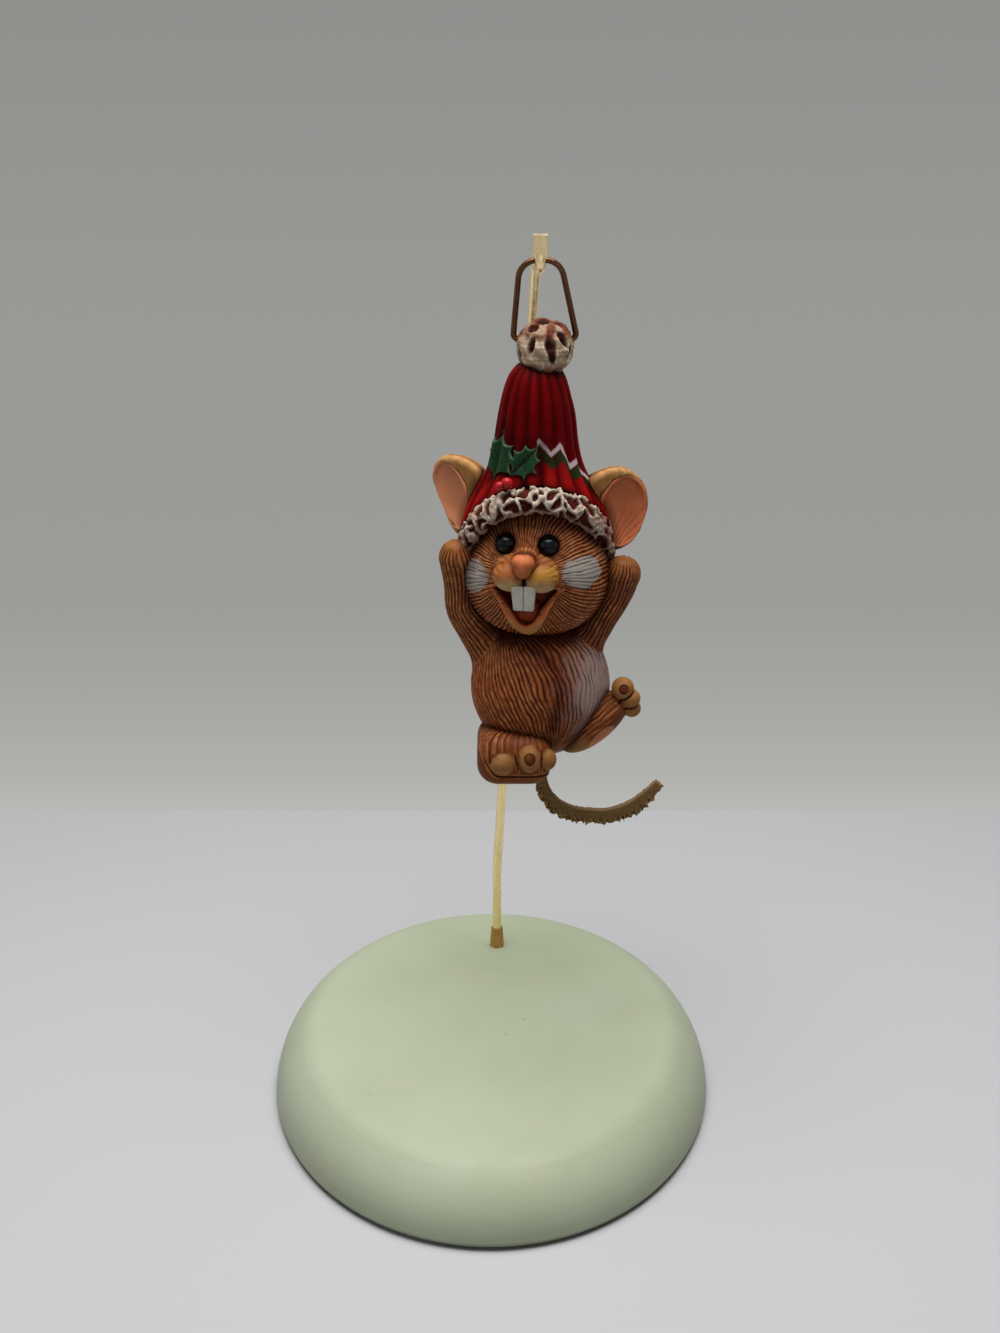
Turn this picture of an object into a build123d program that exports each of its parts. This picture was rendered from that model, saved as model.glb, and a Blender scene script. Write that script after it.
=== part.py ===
"""Mouse figurine hanging from a hooked wire stand.

Millimetres, +Z up, -Y towards the viewer. The origin is the centre of the base's underside.
Left and right are the viewer's, facing the figurine.
"""
import os
from math import cos, pi, radians, sin, sqrt, tan

from build123d import *

os.makedirs("parts", exist_ok=True)

# Base and its felt
base_width = 73.2
base_depth = 96.0
base_height = 10.8
base_widest_setback = 46.2
base_crest_share = 0.82
base_flank_share = (0.955, 0.55)
base_crest_rounding = 5.0
base_edge_rounding = 0.8
dish_fall = 1.3
felt_thickness = 1.0
felt_proud = 0.4
felt_inset = 4.0

# Wire stand
rod_diameter = 1.6
rod_setback = 19.3
rod_offset = 0.9
rod_socket_depth = 6.0
rod_upright = 26.0
rod_lean_radius = 120.0
rod_bend_radius = 5.0
hook_offset = 7.6
hook_reach = 17.0
hook_height = 135.9
hook_valley_radius = 1.9
hook_fall_angle = 11.0
hook_tip_angle = 80.0
hook_tip_rise = 0.1
paddle_width = 2.3
paddle_thickness = 1.0
paddle_swage = 1.0
paddle_length = 2.9
collar_diameter = 2.5
collar_height = 3.0
collar_waist = 2.1

# Wire hanger
wire_diameter = 0.95
wire_clearance = 0.05
hanger_drop = 10.9
hanger_width = 10.0
hanger_top_width = 6.2
hanger_top_radius = 3.0
hanger_corner_radius = 0.9
hanger_pin_reach = 1.9

# Pompom
pompom_diameter = 8.8
pompom_shift = 0.85
pompom_pin_rise = 1.2
pin_hole_spare = 0.15

# Head, with its cheeks as the level that the hat and the neck are measured from
head_width = 24.7
head_depth = 22.0
head_rise = 15.8
head_drop = 9.9
head_turn = -10.0
head_shift = -0.4
eye_diameter = 3.2
eye_spread = 6.7
eye_rise = 7.5
eye_sunk = 0.75
bridge_width = 4.6
bridge_height = 4.8
bridge_length = 6.4
bridge_rise = 5.0
bridge_reach = 9.6
puff_width = 5.8
puff_height = 5.0
puff_length = 6.0
puff_spread = 4.7
puff_rise = 2.7
puff_reach = 9.8
nose_width = 4.9
nose_height = 4.95
nose_length = 2.4
nose_rise = 4.6
nose_reach = 12.2
nose_corner_rounding = 1.1
nose_front_rounding = 0.8
mouth_width = 10.4
mouth_rise = 0.8
mouth_depth = 6.3
mouth_floor = 7.6
lip_span = 12.8
lip_depth = 8.3
lip_proud = 0.7
mouth_side_share = ((1.0, 0.0), (0.79, 0.222), (0.567, 0.444), (0.385, 0.714), (0.2, 0.93))
lip_side_share = ((1.0, 0.0), (0.8125, 0.12), (0.648, 0.325), (0.484, 0.614), (0.28, 0.88))
tooth_width = 2.0
tooth_length = 4.0
tooth_thickness = 1.1
tooth_rise = 1.7
tooth_reach = 12.3
tooth_taper_share = 0.76
tooth_gap = 0.1
tooth_rounding = 0.3
tongue_width = 4.6
tongue_height = 3.6
tongue_thickness = 2.4
tongue_drop = 3.2

# Knitted hat: each ring of the crown has a level, as a share of the crown's height, and a width
crown_height = 37.0
crown_width = 25.2
crown_depth_share = 0.94
crown_rings_share = (
    (0.940, 0.13), (0.915, 0.27), (0.83, 0.40), (0.73, 0.468), (0.58, 0.532), (0.50, 0.59), (0.40, 0.73),
    (0.29, 0.88), (0.17, 0.968), (0.02, 1.0), (-0.12, 0.95), (-0.24, 0.80),
)
crown_ribs = 17
rib_groove_share = 0.055
rib_crest_share = 0.025
brim_width = 22.4
brim_length = 27.4
brim_thickness = 2.7
brim_height = 4.4
brim_tilt = 53.0
brim_rise = 3.8

# Holly on the hat
leaf_length = 8.4
leaf_width = 5.4
leaf_thickness = 0.5
leaf_outline_share = ((0.0, 0.5), (0.36, 0.26), (0.5, 0.0), (0.4, -0.28), (0.0, -0.5))
leaf_hollow_share = 0.16
left_leaf_share = (-0.222, 0.584)
left_leaf_turn = -6.0
right_leaf_share = (-0.0635, 0.551)
right_leaf_turn = -46.0
berry_diameter = 2.0
berry_shares = ((-0.226, -0.33, 0.458, 0.8), (-0.187, -0.33, 0.469, 1.0))

# Ears: outlines and the middles of their hollows as shares of the ear's height
ear_height = 13.8
ear_thickness = 2.6
ear_rounding = 0.9
ear_dish = 1.1
ear_spread = 25.4
left_ear_rise = 13.1
right_ear_rise = 10.9
ear_set = 1.6
ear_splay = 25.0
left_ear_share = (
    (0.29, 0.32), (0.0, 0.412), (-0.26, 0.35), (-0.36, 0.19), (-0.29, -0.086),
    (-0.172, -0.312), (0.0, -0.52), (0.12, -0.555), (0.3, -0.35), (0.385, 0.0),
)
left_hollow_share = (-0.065, -0.06, 0.43, 0.8)
left_hollow_turn = -22.0
right_ear_share = (
    (-0.322, 0.433), (-0.13, 0.505), (0.05, 0.515), (0.22, 0.43), (0.34, 0.27), (0.375, 0.08),
    (0.317, -0.179), (0.2, -0.372), (0.02, -0.46), (-0.2, -0.42), (-0.38, -0.15), (-0.41, 0.2),
)
right_hollow_share = (0.065, 0.0, 0.53, 0.82)
right_hollow_turn = 5.0

# Body and limbs
neck_length = 18.9
torso_width = 23.0
torso_depth = 20.6
torso_rise = 12.6
torso_drop = 12.0
torso_shift = 0.5
arm_width = 5.8
arm_reach = 17.0
arm_radii_share = (1.17, 1.03, 0.93, 0.9, 1.03)
left_shoulder_share = (-0.3565, 0.0, 0.452)
left_arm_share = (
    (0.0, 0.0, 0.0), (-0.14, -0.05, 0.24), (-0.265, -0.105, 0.475),
    (-0.29, -0.13, 0.735), (-0.31, -0.17, 1.0),
)
right_shoulder_share = (0.252, 0.0, 0.413)
right_arm_share = (
    (0.0, 0.0, 0.0), (0.118, -0.05, 0.21), (0.24, -0.105, 0.43),
    (0.365, -0.13, 0.647), (0.424, -0.15, 0.86),
)

# Feet: their middles are shares of the body, their toes shares of the foot
left_foot_width = 12.2
left_foot_depth = 13.6
left_foot_height = 8.9
left_foot_rounding = 3.3
left_foot_share = (-0.187, -0.209, -0.825)
left_toe_shares = (
    (-0.156, -0.441, 0.0, 0.44, 0.44), (0.197, -0.463, 0.09, 0.39, 0.48), (0.443, -0.375, 0.034, 0.3, 0.39),
)
right_foot_width = 14.6
right_foot_depth = 8.0
right_foot_height = 6.2
right_foot_turn = -43.0
right_foot_share = (0.391, -0.17, -0.433)
right_toe_shares = (
    (0.524, -0.225, 0.26, 0.484, 0.484), (0.505, -0.175, -0.073, 0.468, 0.468), (0.417, -0.1, -0.365, 0.452, 0.452),
)

# Tail: stations as shares of its reach, with the width at each as a share of the widest
tail_reach = 20.5
tail_width = 2.3
tail_thickness = 1.4
tail_set = 4.0
tail_share = (
    (-0.04, -0.49, 0.87), (-0.01, -0.76, 0.87), (0.016, -0.918, 0.87), (0.057, -1.047, 0.93), (0.149, -1.156, 0.97),
    (0.281, -1.222, 1.0), (0.428, -1.244, 1.0), (0.581, -1.244, 1.0), (0.734, -1.192, 1.0), (0.857, -1.108, 0.93),
    (0.998, -0.949, 0.58),
)

# Places worked out from the sizes
rod_radius = rod_diameter / 2
wire_radius = wire_diameter / 2
base_top = felt_proud + base_height
rod_y = base_depth / 2 - rod_setback
hook_y = rod_y - hook_reach
pin_height = hook_height - hanger_drop
pompom_height = pin_height - pompom_pin_rise
head_height = pompom_height - crown_height
pompom_x = hook_offset + pompom_shift

# The figurine is shaped about the middle of its head and set under the hook at the end
figure_place = Location((hook_offset + head_shift, hook_y, head_height))
head_frame = Location((0, 0, 0), (0, 0, head_turn))
body_frame = Location((torso_shift - head_shift, 0, -neck_length))
pompom_place = Vector(pompom_shift - head_shift, 0, crown_height)


def ellipsoid(width, depth, height):
    """Solid ellipsoid about the origin."""
    with BuildPart() as ball:
        Sphere(1)
        scale(by=(width / 2, depth / 2, height / 2))
    return ball.part


def egg(width, depth, rise, drop):
    """Solid egg whose widest level is at the origin."""
    with BuildPart() as shell:
        with BuildSketch(Plane.XZ):
            with BuildLine():
                EllipticalCenterArc((0, 0), width / 2, rise, 0, arc_size=90)
                EllipticalCenterArc((0, 0), width / 2, drop, -90, arc_size=90)
                Line((0, rise), (0, -drop))
            make_face()
        revolve(axis=Axis.Z)
        scale(by=(1, depth / width, 1))
    return shell.part


def head_front(across, up):
    """How far the face stands in front of the head's middle."""
    reach = head_rise if up > 0 else head_drop
    return head_depth / 2 * sqrt(1 - (2 * across / head_width) ** 2 - (up / reach) ** 2)


def limb(places, radii):
    """Rounded limb through circles along its centre line."""
    points = [Vector(place) for place in places]
    with BuildPart() as bar:
        for here, (point, radius) in enumerate(zip(points, radii)):
            before = points[max(here - 1, 0)]
            after = points[min(here + 1, len(points) - 1)]
            with BuildSketch(Plane(point, z_dir=after - before)):
                Circle(radius)
        loft()
        for point, radius in ((points[0], radii[0]), (points[-1], radii[-1])):
            with Locations(point):
                Sphere(radius)
    return bar.part


# Base: a soft-edged pebble, wider behind, with a shallow dished top
base_middle = base_depth / 2 - base_widest_setback
front_reach = base_depth - base_widest_setback


def base_half(reach):
    """Half of the base on the +Y side, from the widest line to its end."""
    half = base_width / 2
    crest = (half * base_crest_share, base_top)
    flank_out, flank_up = base_flank_share
    flank = (half * flank_out, felt_proud + base_height * flank_up)
    with BuildPart() as side:
        with BuildSketch(Plane.XZ):
            with BuildLine():
                Polyline((0, base_top - dish_fall), (0, felt_proud), (half, felt_proud))
                ThreePointArc((half, felt_proud), flank, crest)
                ThreePointArc(crest, (crest[0] / 2, base_top - dish_fall * 3 / 4), (0, base_top - dish_fall))
            make_face()
            fillet(vertices().group_by(Axis.Y)[-1], base_crest_rounding)
            fillet(vertices().sort_by(Axis.X)[-1], base_edge_rounding)
        revolve(axis=Axis.Z, revolution_arc=180)
        scale(by=(1, reach / half, 1))
    return side.part


def base_outline(share):
    with BuildSketch() as outline:
        with BuildLine():
            half = base_width / 2 * share
            back = base_widest_setback * share
            front = front_reach * share
            for start_angle, reach in ((0, back), (90, back), (180, front), (270, front)):
                EllipticalCenterArc((0, base_middle), half, reach, start_angle, arc_size=90)
        make_face()
    return outline.sketch


with BuildPart() as base_body:
    with Locations((0, base_middle, 0)):
        add(base_half(base_widest_setback))
    with Locations(Location((0, base_middle, 0), (0, 0, 180))):
        add(base_half(front_reach))

with BuildPart() as stand_rod:
    fall = radians(hook_fall_angle)
    rise = radians(hook_tip_angle)
    valley = Vector(hook_offset, hook_y, hook_height + hook_valley_radius)
    run_start = valley + Vector(0, sin(fall), -cos(fall)) * hook_valley_radius
    run_way = Vector(0, cos(fall), sin(fall))
    tip_way = Vector(0, -cos(rise), sin(rise))
    valley_corner = run_start - run_way * hook_valley_radius * tan((fall + rise) / 2)
    rod_corner = run_start + run_way * ((rod_y - run_start.Y) / run_way.Y)
    swage_start = valley_corner + tip_way * (hook_valley_radius * tan((fall + rise) / 2) + hook_tip_rise)
    foot = Vector(rod_offset, rod_y, base_top - rod_socket_depth)
    with BuildLine() as route:
        FilletPolyline(
            foot,
            Vector(rod_offset, rod_y, rod_upright),
            rod_corner,
            valley_corner,
            swage_start,
            radius=(rod_lean_radius, rod_bend_radius, hook_valley_radius),
        )
    with BuildSketch(Plane(foot, z_dir=(0, 0, 1))):
        Circle(rod_radius)
    sweep(path=route.line)
    tip_plane = Plane(swage_start, x_dir=(1, 0, 0), z_dir=tip_way)
    with BuildSketch(tip_plane):
        Circle(rod_radius)
    with BuildSketch(tip_plane.offset(paddle_swage)):
        RectangleRounded(paddle_width, paddle_thickness, paddle_thickness / 4)
    loft()
    with BuildSketch(tip_plane.offset(paddle_swage)):
        RectangleRounded(paddle_width, paddle_thickness, paddle_thickness / 4)
    extrude(amount=paddle_length)

felt_share = 1 - 2 * felt_inset / base_width
with BuildPart() as display_base:
    add(base_body.part)
    add(stand_rod.part, mode=Mode.SUBTRACT)
    with BuildSketch(Plane.XY.offset(felt_proud)):
        add(base_outline(felt_share))
    extrude(amount=felt_thickness - felt_proud, mode=Mode.SUBTRACT)

with BuildPart() as base_felt:
    with BuildSketch():
        add(base_outline(felt_share))
    extrude(amount=felt_thickness)

with BuildPart() as rod_collar:
    with BuildSketch(Plane.XZ.offset(-rod_y)):
        with BuildLine():
            Polyline(
                (rod_offset + rod_radius, base_top + collar_height),
                (rod_offset + rod_radius, base_top - base_height / 2),
                (rod_offset + collar_diameter / 2, base_top - base_height / 2),
                (rod_offset + collar_diameter / 2, base_top),
            )
            Line(
                (rod_offset + collar_diameter / 2, base_top),
                (rod_offset + collar_waist / 2, base_top + collar_height),
            )
            Line(
                (rod_offset + collar_waist / 2, base_top + collar_height),
                (rod_offset + rod_radius, base_top + collar_height),
            )
        make_face()
    revolve(axis=Axis((rod_offset, rod_y, 0), (0, 0, 1)))
    add(base_body.part, mode=Mode.SUBTRACT)

# Hanger: a bent wire loop whose ends turn in to the pompom
with BuildPart() as hanger_loop:
    loop_top = hook_height + rod_radius + wire_clearance + wire_radius
    pin_end = hanger_width / 2 - hanger_pin_reach - hanger_corner_radius
    left_end = Vector(pompom_x - pin_end, hook_y, pin_height)
    with BuildLine() as route:
        FilletPolyline(
            left_end,
            Vector(pompom_x - hanger_width / 2, hook_y, pin_height),
            Vector(hook_offset - hanger_top_width / 2, hook_y, loop_top),
            Vector(hook_offset + hanger_top_width / 2, hook_y, loop_top),
            Vector(pompom_x + hanger_width / 2, hook_y, pin_height),
            Vector(pompom_x + pin_end, hook_y, pin_height),
            radius=(hanger_corner_radius, hanger_top_radius, hanger_top_radius, hanger_corner_radius),
        )
    with BuildSketch(Plane(left_end, z_dir=(-1, 0, 0))):
        Circle(wire_radius)
    sweep(path=route.line)

with BuildPart() as pompom:
    with Locations(pompom_place):
        Sphere(pompom_diameter / 2)
    for side in (-1, 1):
        bottom = pompom_place + Vector(side * (pin_end - pin_hole_spare), 0, pompom_pin_rise)
        with BuildSketch(Plane(bottom, z_dir=(side, 0, 0))):
            Circle(wire_radius + wire_clearance)
        extrude(amount=pompom_diameter, mode=Mode.SUBTRACT)

# Face: everything on it stands in the head's own frame
face_plane = Plane(head_frame * Location((0, 0, 0), (90, 0, 0)))

with BuildPart() as eyes:
    for side in (-1, 1):
        across = side * eye_spread / 2
        eye_spot = (across, eye_sunk - head_front(across, eye_rise), eye_rise)
        with Locations(head_frame * Location(eye_spot, (90, 0, 0))):
            Sphere(eye_diameter / 2)
eye_left, eye_right = eyes.solids().sort_by(Axis.X)


def mouth_outline(width, depth, shares):
    """Smiling mouth: a level top, with sides that draw in to a rounded bottom."""
    left = [(-out * width / 2, mouth_rise - down * depth) for out, down in shares]
    right = [(-across, up) for across, up in reversed(left)]
    with BuildSketch() as outline:
        with BuildLine():
            Spline(*left, (0, mouth_rise - depth), *right)
            Line(right[-1], left[0])
        make_face()
    return outline.sketch


def head_form(proud=0):
    """The head's egg, or that egg with its skin moved out."""
    return egg(head_width + 2 * proud, head_depth + 2 * proud, head_rise + proud, head_drop + proud)


with BuildPart() as head:
    with Locations(head_frame):
        add(head_form())
    add(eyes.part, mode=Mode.SUBTRACT)
    with BuildSketch(face_plane.offset(mouth_floor)):
        add(mouth_outline(mouth_width, mouth_depth, mouth_side_share))
    extrude(amount=head_depth, mode=Mode.SUBTRACT)


with BuildPart() as lower_lip:
    with BuildSketch(face_plane):
        add(mouth_outline(lip_span, lip_depth, lip_side_share))
        add(mouth_outline(mouth_width, mouth_depth, mouth_side_share), mode=Mode.SUBTRACT)
    extrude(amount=head_depth)
    with Locations(head_frame):
        add(head_form(lip_proud), mode=Mode.INTERSECT)
    add(head.part, mode=Mode.SUBTRACT)

with BuildPart() as muzzle:
    with Locations(head_frame * Location((0, -bridge_reach, bridge_rise))):
        add(ellipsoid(bridge_width, bridge_length, bridge_height))
    for side in (-1, 1):
        with Locations(head_frame * Location((side * puff_spread / 2, -puff_reach, puff_rise))):
            add(ellipsoid(puff_width, puff_length, puff_height))
    add(head.part, mode=Mode.SUBTRACT)

with BuildPart() as front_teeth:
    for side in (-1, 1):
        inner = side * tooth_gap / 2
        with BuildSketch(face_plane.offset(tooth_reach - tooth_thickness)):
            with BuildLine():
                Polyline(
                    (inner, tooth_rise),
                    (inner + side * tooth_width, tooth_rise),
                    (inner + side * tooth_width * tooth_taper_share, tooth_rise - tooth_length),
                    (inner, tooth_rise - tooth_length),
                    close=True,
                )
            make_face()
            fillet(vertices().group_by(Axis.Y)[0], tooth_rounding)
        extrude(amount=tooth_thickness)
    add(muzzle.part, mode=Mode.SUBTRACT)

with BuildPart() as nose:
    with BuildSketch(face_plane.offset(nose_reach - nose_length / 2)):
        with BuildLine():
            Polyline(
                (-nose_width / 2, nose_rise + nose_height / 2),
                (nose_width / 2, nose_rise + nose_height / 2),
                (0, nose_rise - nose_height / 2),
                close=True,
            )
        make_face()
        fillet(vertices(), nose_corner_rounding)
    extrude(amount=nose_length)
    fillet(faces().sort_by(Axis.Y)[0].edges(), nose_front_rounding)
    add(muzzle.part, mode=Mode.SUBTRACT)
    add(head.part, mode=Mode.SUBTRACT)

with BuildPart() as tongue:
    with Locations(head_frame * Location((0, -mouth_floor, -tongue_drop))):
        add(ellipsoid(tongue_width, tongue_thickness, tongue_height))
    add(head.part, mode=Mode.SUBTRACT)
    add(lower_lip.part, mode=Mode.SUBTRACT)

# Hat: a ribbed crown with a rolled woollen brim, tilted like a bonnet
brim_middle = Location((0, 0, brim_rise), (-brim_tilt, 0, 0))


def crown_ring(width, ribbed, grown=0):
    """One level of the crown: round, or with a crest for each rib."""
    half_across = width / 2 + grown
    half_back = width * crown_depth_share / 2 + grown
    step = 2 * pi / crown_ribs

    def on_ring(turn, share):
        return (half_across * (1 + share) * cos(turn), half_back * (1 + share) * sin(turn))

    with BuildSketch() as ring:
        if ribbed:
            with BuildLine():
                for rib in range(crown_ribs):
                    ThreePointArc(
                        on_ring(rib * step, -rib_groove_share),
                        on_ring((rib + 0.5) * step, rib_crest_share),
                        on_ring((rib + 1) * step, -rib_groove_share),
                    )
            make_face()
        else:
            Ellipse(half_across, half_back)
    return ring.sketch


def crown_form(ribbed, grown=0):
    """The crown from under the pompom down to behind the neck."""
    with BuildPart() as form:
        for level_share, width_share in reversed(crown_rings_share):
            with BuildSketch(Plane.XY.offset(level_share * crown_height)):
                add(crown_ring(crown_width * width_share, ribbed, grown))
        loft()
    return form.part


def brim_form():
    """The brim as a whole ring, before the head takes its place inside."""
    with BuildPart() as ring:
        Torus(brim_width / 2, brim_thickness / 2)
        scale(by=(1, brim_length / brim_width, brim_height / brim_thickness))
    with BuildPart() as placed:
        with Locations(brim_middle):
            add(ring.part)
    return placed


brim_ring = brim_form()
with BuildPart() as hat_brim:
    add(brim_ring.part)
    add(head.part, mode=Mode.SUBTRACT)

with BuildPart() as hat_crown:
    add(crown_form(True))
    split(bisect_by=Plane(brim_middle), keep=Keep.TOP)
    for neighbour in (head, brim_ring, pompom):
        add(neighbour.part, mode=Mode.SUBTRACT)

# Its smooth envelope over the rib crests, which the ears and the paws stop at
with BuildPart() as crown_envelope:
    add(crown_form(False, crown_width / 2 * rib_crest_share))
    split(bisect_by=Plane(brim_middle), keep=Keep.TOP)


def holly_leaf(place_share, turn, under=()):
    """Spined leaf lying on the front of the crown."""
    rim = [(x * leaf_width, y * leaf_length) for x, y in leaf_outline_share]
    rim += [(-x, y) for x, y in reversed(rim[1:-1])]
    across, up = place_share
    place = Location((across * crown_width, 0, up * crown_height), (90, 0, 0)) * Location((0, 0, 0), (0, 0, turn))
    with BuildPart() as leaf:
        with BuildSketch(Plane(place)):
            with BuildLine():
                for start, end in zip(rim, rim[1:] + rim[:1]):
                    middle = (Vector(start) + Vector(end)) * 0.5 * (1 - leaf_hollow_share)
                    ThreePointArc(start, middle, end)
            make_face()
        extrude(amount=crown_width)
        add(crown_form(False, leaf_thickness), mode=Mode.INTERSECT)
        for neighbour in (hat_crown, brim_ring, head, *under):
            add(neighbour.part, mode=Mode.SUBTRACT)
    return leaf


holly_leaf_right = holly_leaf(right_leaf_share, right_leaf_turn)
holly_leaf_left = holly_leaf(left_leaf_share, left_leaf_turn, (holly_leaf_right,))
with BuildPart() as holly_berries:
    for across, out, up, size_share in berry_shares:
        berry_place = Location((across * crown_width, out * crown_width, up * crown_height), (0, 0, 90))
        with Locations(berry_place):
            Sphere(berry_diameter / 2 * size_share)
    for neighbour in (holly_leaf_left, holly_leaf_right, hat_crown, brim_ring, head):
        add(neighbour.part, mode=Mode.SUBTRACT)


def ear(side, rise, outline_share, hollow_share, hollow_turn):
    """Cupped ear standing out beside the hat."""
    place = head_frame * Location((side * ear_spread / 2, ear_set, rise), (0, 0, side * ear_splay))
    rim = [(across * ear_height, up * ear_height) for across, up in outline_share]
    across, up, wide, high = [share * ear_height for share in hollow_share]
    with BuildPart() as cup:
        with BuildSketch(Plane(place * Location((0, ear_thickness / 2, 0), (90, 0, 0)))):
            with BuildLine():
                Spline(*rim, periodic=True)
            make_face()
        extrude(amount=ear_thickness)
        flat_faces = faces().filter_by(GeomType.PLANE)
        fillet([edge for face in flat_faces for edge in face.edges()], ear_rounding)
        with Locations(place * Location((across, -ear_thickness / 2, up), (0, hollow_turn, 0))):
            add(ellipsoid(wide, 2 * ear_dish, high), mode=Mode.SUBTRACT)
        for neighbour in (head, brim_ring, crown_envelope):
            add(neighbour.part, mode=Mode.SUBTRACT)
    return cup


ear_left = ear(-1, left_ear_rise, left_ear_share, left_hollow_share, left_hollow_turn)
ear_right = ear(1, right_ear_rise, right_ear_share, right_hollow_share, right_hollow_turn)

# Body and limbs
with BuildPart() as torso:
    with Locations(body_frame):
        add(egg(torso_width, torso_depth, torso_rise, torso_drop))
    for neighbour in (head, lower_lip, brim_ring):
        add(neighbour.part, mode=Mode.SUBTRACT)


def on_body(across, out, up):
    """Place given as shares of the body's width, depth and rise or drop."""
    reach = torso_rise if up > 0 else torso_drop
    return Vector(across * torso_width, out * torso_depth, up * reach)


def arm(shoulder_share, shares):
    """Raised arm with its paw beside the head."""
    places = [body_frame * Location(on_body(*shoulder_share) + Vector(*share) * arm_reach) for share in shares]
    with BuildPart() as raised:
        add(limb([place.position for place in places], [share * arm_width / 2 for share in arm_radii_share]))
        for neighbour in (head, lower_lip, brim_ring, crown_envelope, torso, ear_left, ear_right):
            add(neighbour.part, mode=Mode.SUBTRACT)
    return raised


arm_left = arm(left_shoulder_share, left_arm_share)
arm_right = arm(right_shoulder_share, right_arm_share)


def rounded_block(width, depth, height, rounding):
    with BuildPart() as block:
        Box(width, depth, height)
        fillet(block.edges(), rounding)
    return block.part


def with_toes(foot, size, place, toe_shares):
    """The foot set in its place with its toes, up against the body."""
    width, depth, height = size
    with BuildPart() as form:
        with Locations(place):
            add(foot)
        for across, out, up, toe_wide, toe_high in toe_shares:
            with Locations(place * Location((across * width, out * depth, up * height))):
                add(ellipsoid(toe_wide * height, toe_wide * height, toe_high * height))
        add(torso.part, mode=Mode.SUBTRACT)
    return form


left_foot_size = (left_foot_width, left_foot_depth, left_foot_height)
left_foot_place = body_frame * Location(on_body(*left_foot_share))
foot_left = with_toes(
    rounded_block(*left_foot_size, left_foot_rounding), left_foot_size, left_foot_place, left_toe_shares
)
right_foot_size = (right_foot_width, right_foot_depth, right_foot_height)
right_foot_place = body_frame * Location(on_body(*right_foot_share), (0, right_foot_turn, 0))
foot_right = with_toes(ellipsoid(*right_foot_size), right_foot_size, right_foot_place, right_toe_shares)


def tail_edge(side):
    """Points along the tail's upper or lower edge."""
    stations = [Vector(across, up) * tail_reach for across, up, _ in tail_share]
    edge = []
    for here, (station, (_, _, width_share)) in enumerate(zip(stations, tail_share)):
        before = stations[max(here - 1, 0)]
        after = stations[min(here + 1, len(stations) - 1)]
        way = (after - before).normalized()
        edge.append(station + Vector(-way.Y, way.X) * side * tail_width * width_share / 2)
    return edge


with BuildPart() as tail:
    tail_plane = Plane(body_frame * Location((0, tail_set + tail_thickness / 2, 0), (90, 0, 0)))
    upper, lower = tail_edge(1), tail_edge(-1)
    with BuildSketch(tail_plane):
        with BuildLine():
            Spline(*upper)
            Line(upper[-1], lower[-1])
            Spline(*reversed(lower))
            Line(lower[0], upper[0])
        make_face()
    extrude(amount=tail_thickness)
    for neighbour in (torso, foot_left, foot_right):
        add(neighbour.part, mode=Mode.SUBTRACT)

stand_pieces = {
    "display_base": display_base.part,
    "base_felt": base_felt.part,
    "stand_rod": stand_rod.part,
    "rod_collar": rod_collar.part,
    "hanger_loop": hanger_loop.part,
}
figure_pieces = {
    "pompom": pompom.part,
    "hat_crown": hat_crown.part,
    "hat_brim": hat_brim.part,
    "holly_leaf_left": holly_leaf_left.part,
    "holly_leaf_right": holly_leaf_right.part,
    "holly_berries": holly_berries.part,
    "head": head.part,
    "eye_left": eye_left,
    "eye_right": eye_right,
    "muzzle": muzzle.part,
    "nose": nose.part,
    "front_teeth": front_teeth.part,
    "lower_lip": lower_lip.part,
    "tongue": tongue.part,
    "ear_left": ear_left.part,
    "ear_right": ear_right.part,
    "torso": torso.part,
    "arm_left": arm_left.part,
    "arm_right": arm_right.part,
    "foot_left": foot_left.part,
    "foot_right": foot_right.part,
    "tail": tail.part,
}
pieces = stand_pieces | {name: piece.moved(figure_place) for name, piece in figure_pieces.items()}
for name, piece in pieces.items():
    piece.label = name
    export_step(piece, f"parts/{name}.step")
    print(name, len(piece.solids()), round(piece.volume, 2))
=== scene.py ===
import math

import bpy
import numpy as np
from mathutils import Matrix, Vector
from mathutils.bvhtree import BVHTree


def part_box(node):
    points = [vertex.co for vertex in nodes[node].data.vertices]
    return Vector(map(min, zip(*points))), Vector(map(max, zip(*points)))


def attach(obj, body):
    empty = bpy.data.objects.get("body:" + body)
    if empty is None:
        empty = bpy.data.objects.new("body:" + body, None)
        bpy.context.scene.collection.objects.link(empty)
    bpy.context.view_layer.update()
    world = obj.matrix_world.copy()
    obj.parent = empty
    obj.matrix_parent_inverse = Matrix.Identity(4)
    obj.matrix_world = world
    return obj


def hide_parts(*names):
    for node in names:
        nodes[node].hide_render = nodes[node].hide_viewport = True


# Painted mouse figurine hanging from a wire stand. Sizes are in millimetres unless a note says otherwise.
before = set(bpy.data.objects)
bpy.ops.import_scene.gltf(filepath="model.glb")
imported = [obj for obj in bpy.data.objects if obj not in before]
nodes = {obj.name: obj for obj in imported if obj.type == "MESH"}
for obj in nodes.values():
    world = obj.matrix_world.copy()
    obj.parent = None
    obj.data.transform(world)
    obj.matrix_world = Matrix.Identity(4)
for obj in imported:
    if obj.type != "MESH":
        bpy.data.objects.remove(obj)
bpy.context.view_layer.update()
mm = 0.001
fullTurn = 2 * math.pi

# Camera and light first, so that every render is framed alike
view = {
    "place": (1.45, -296.46, 183.09), "pitch": 20.0, "focalPixels": 1992.0, "pictureHeight": 1333.0,
    "sensor": 36,
}
lamps = {
    "ceiling": {"place": (0, -10, 430), "aim": (0, -9, 0), "size": 420, "watts": 2.35},
    "front": {"place": (120, -380, 160), "aim": (5, 0, 90), "size": 300, "watts": 0.06},
    "side": {"place": (-330, -120, 150), "aim": (5, 0, 90), "size": 240, "watts": 0.06},
}
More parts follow.
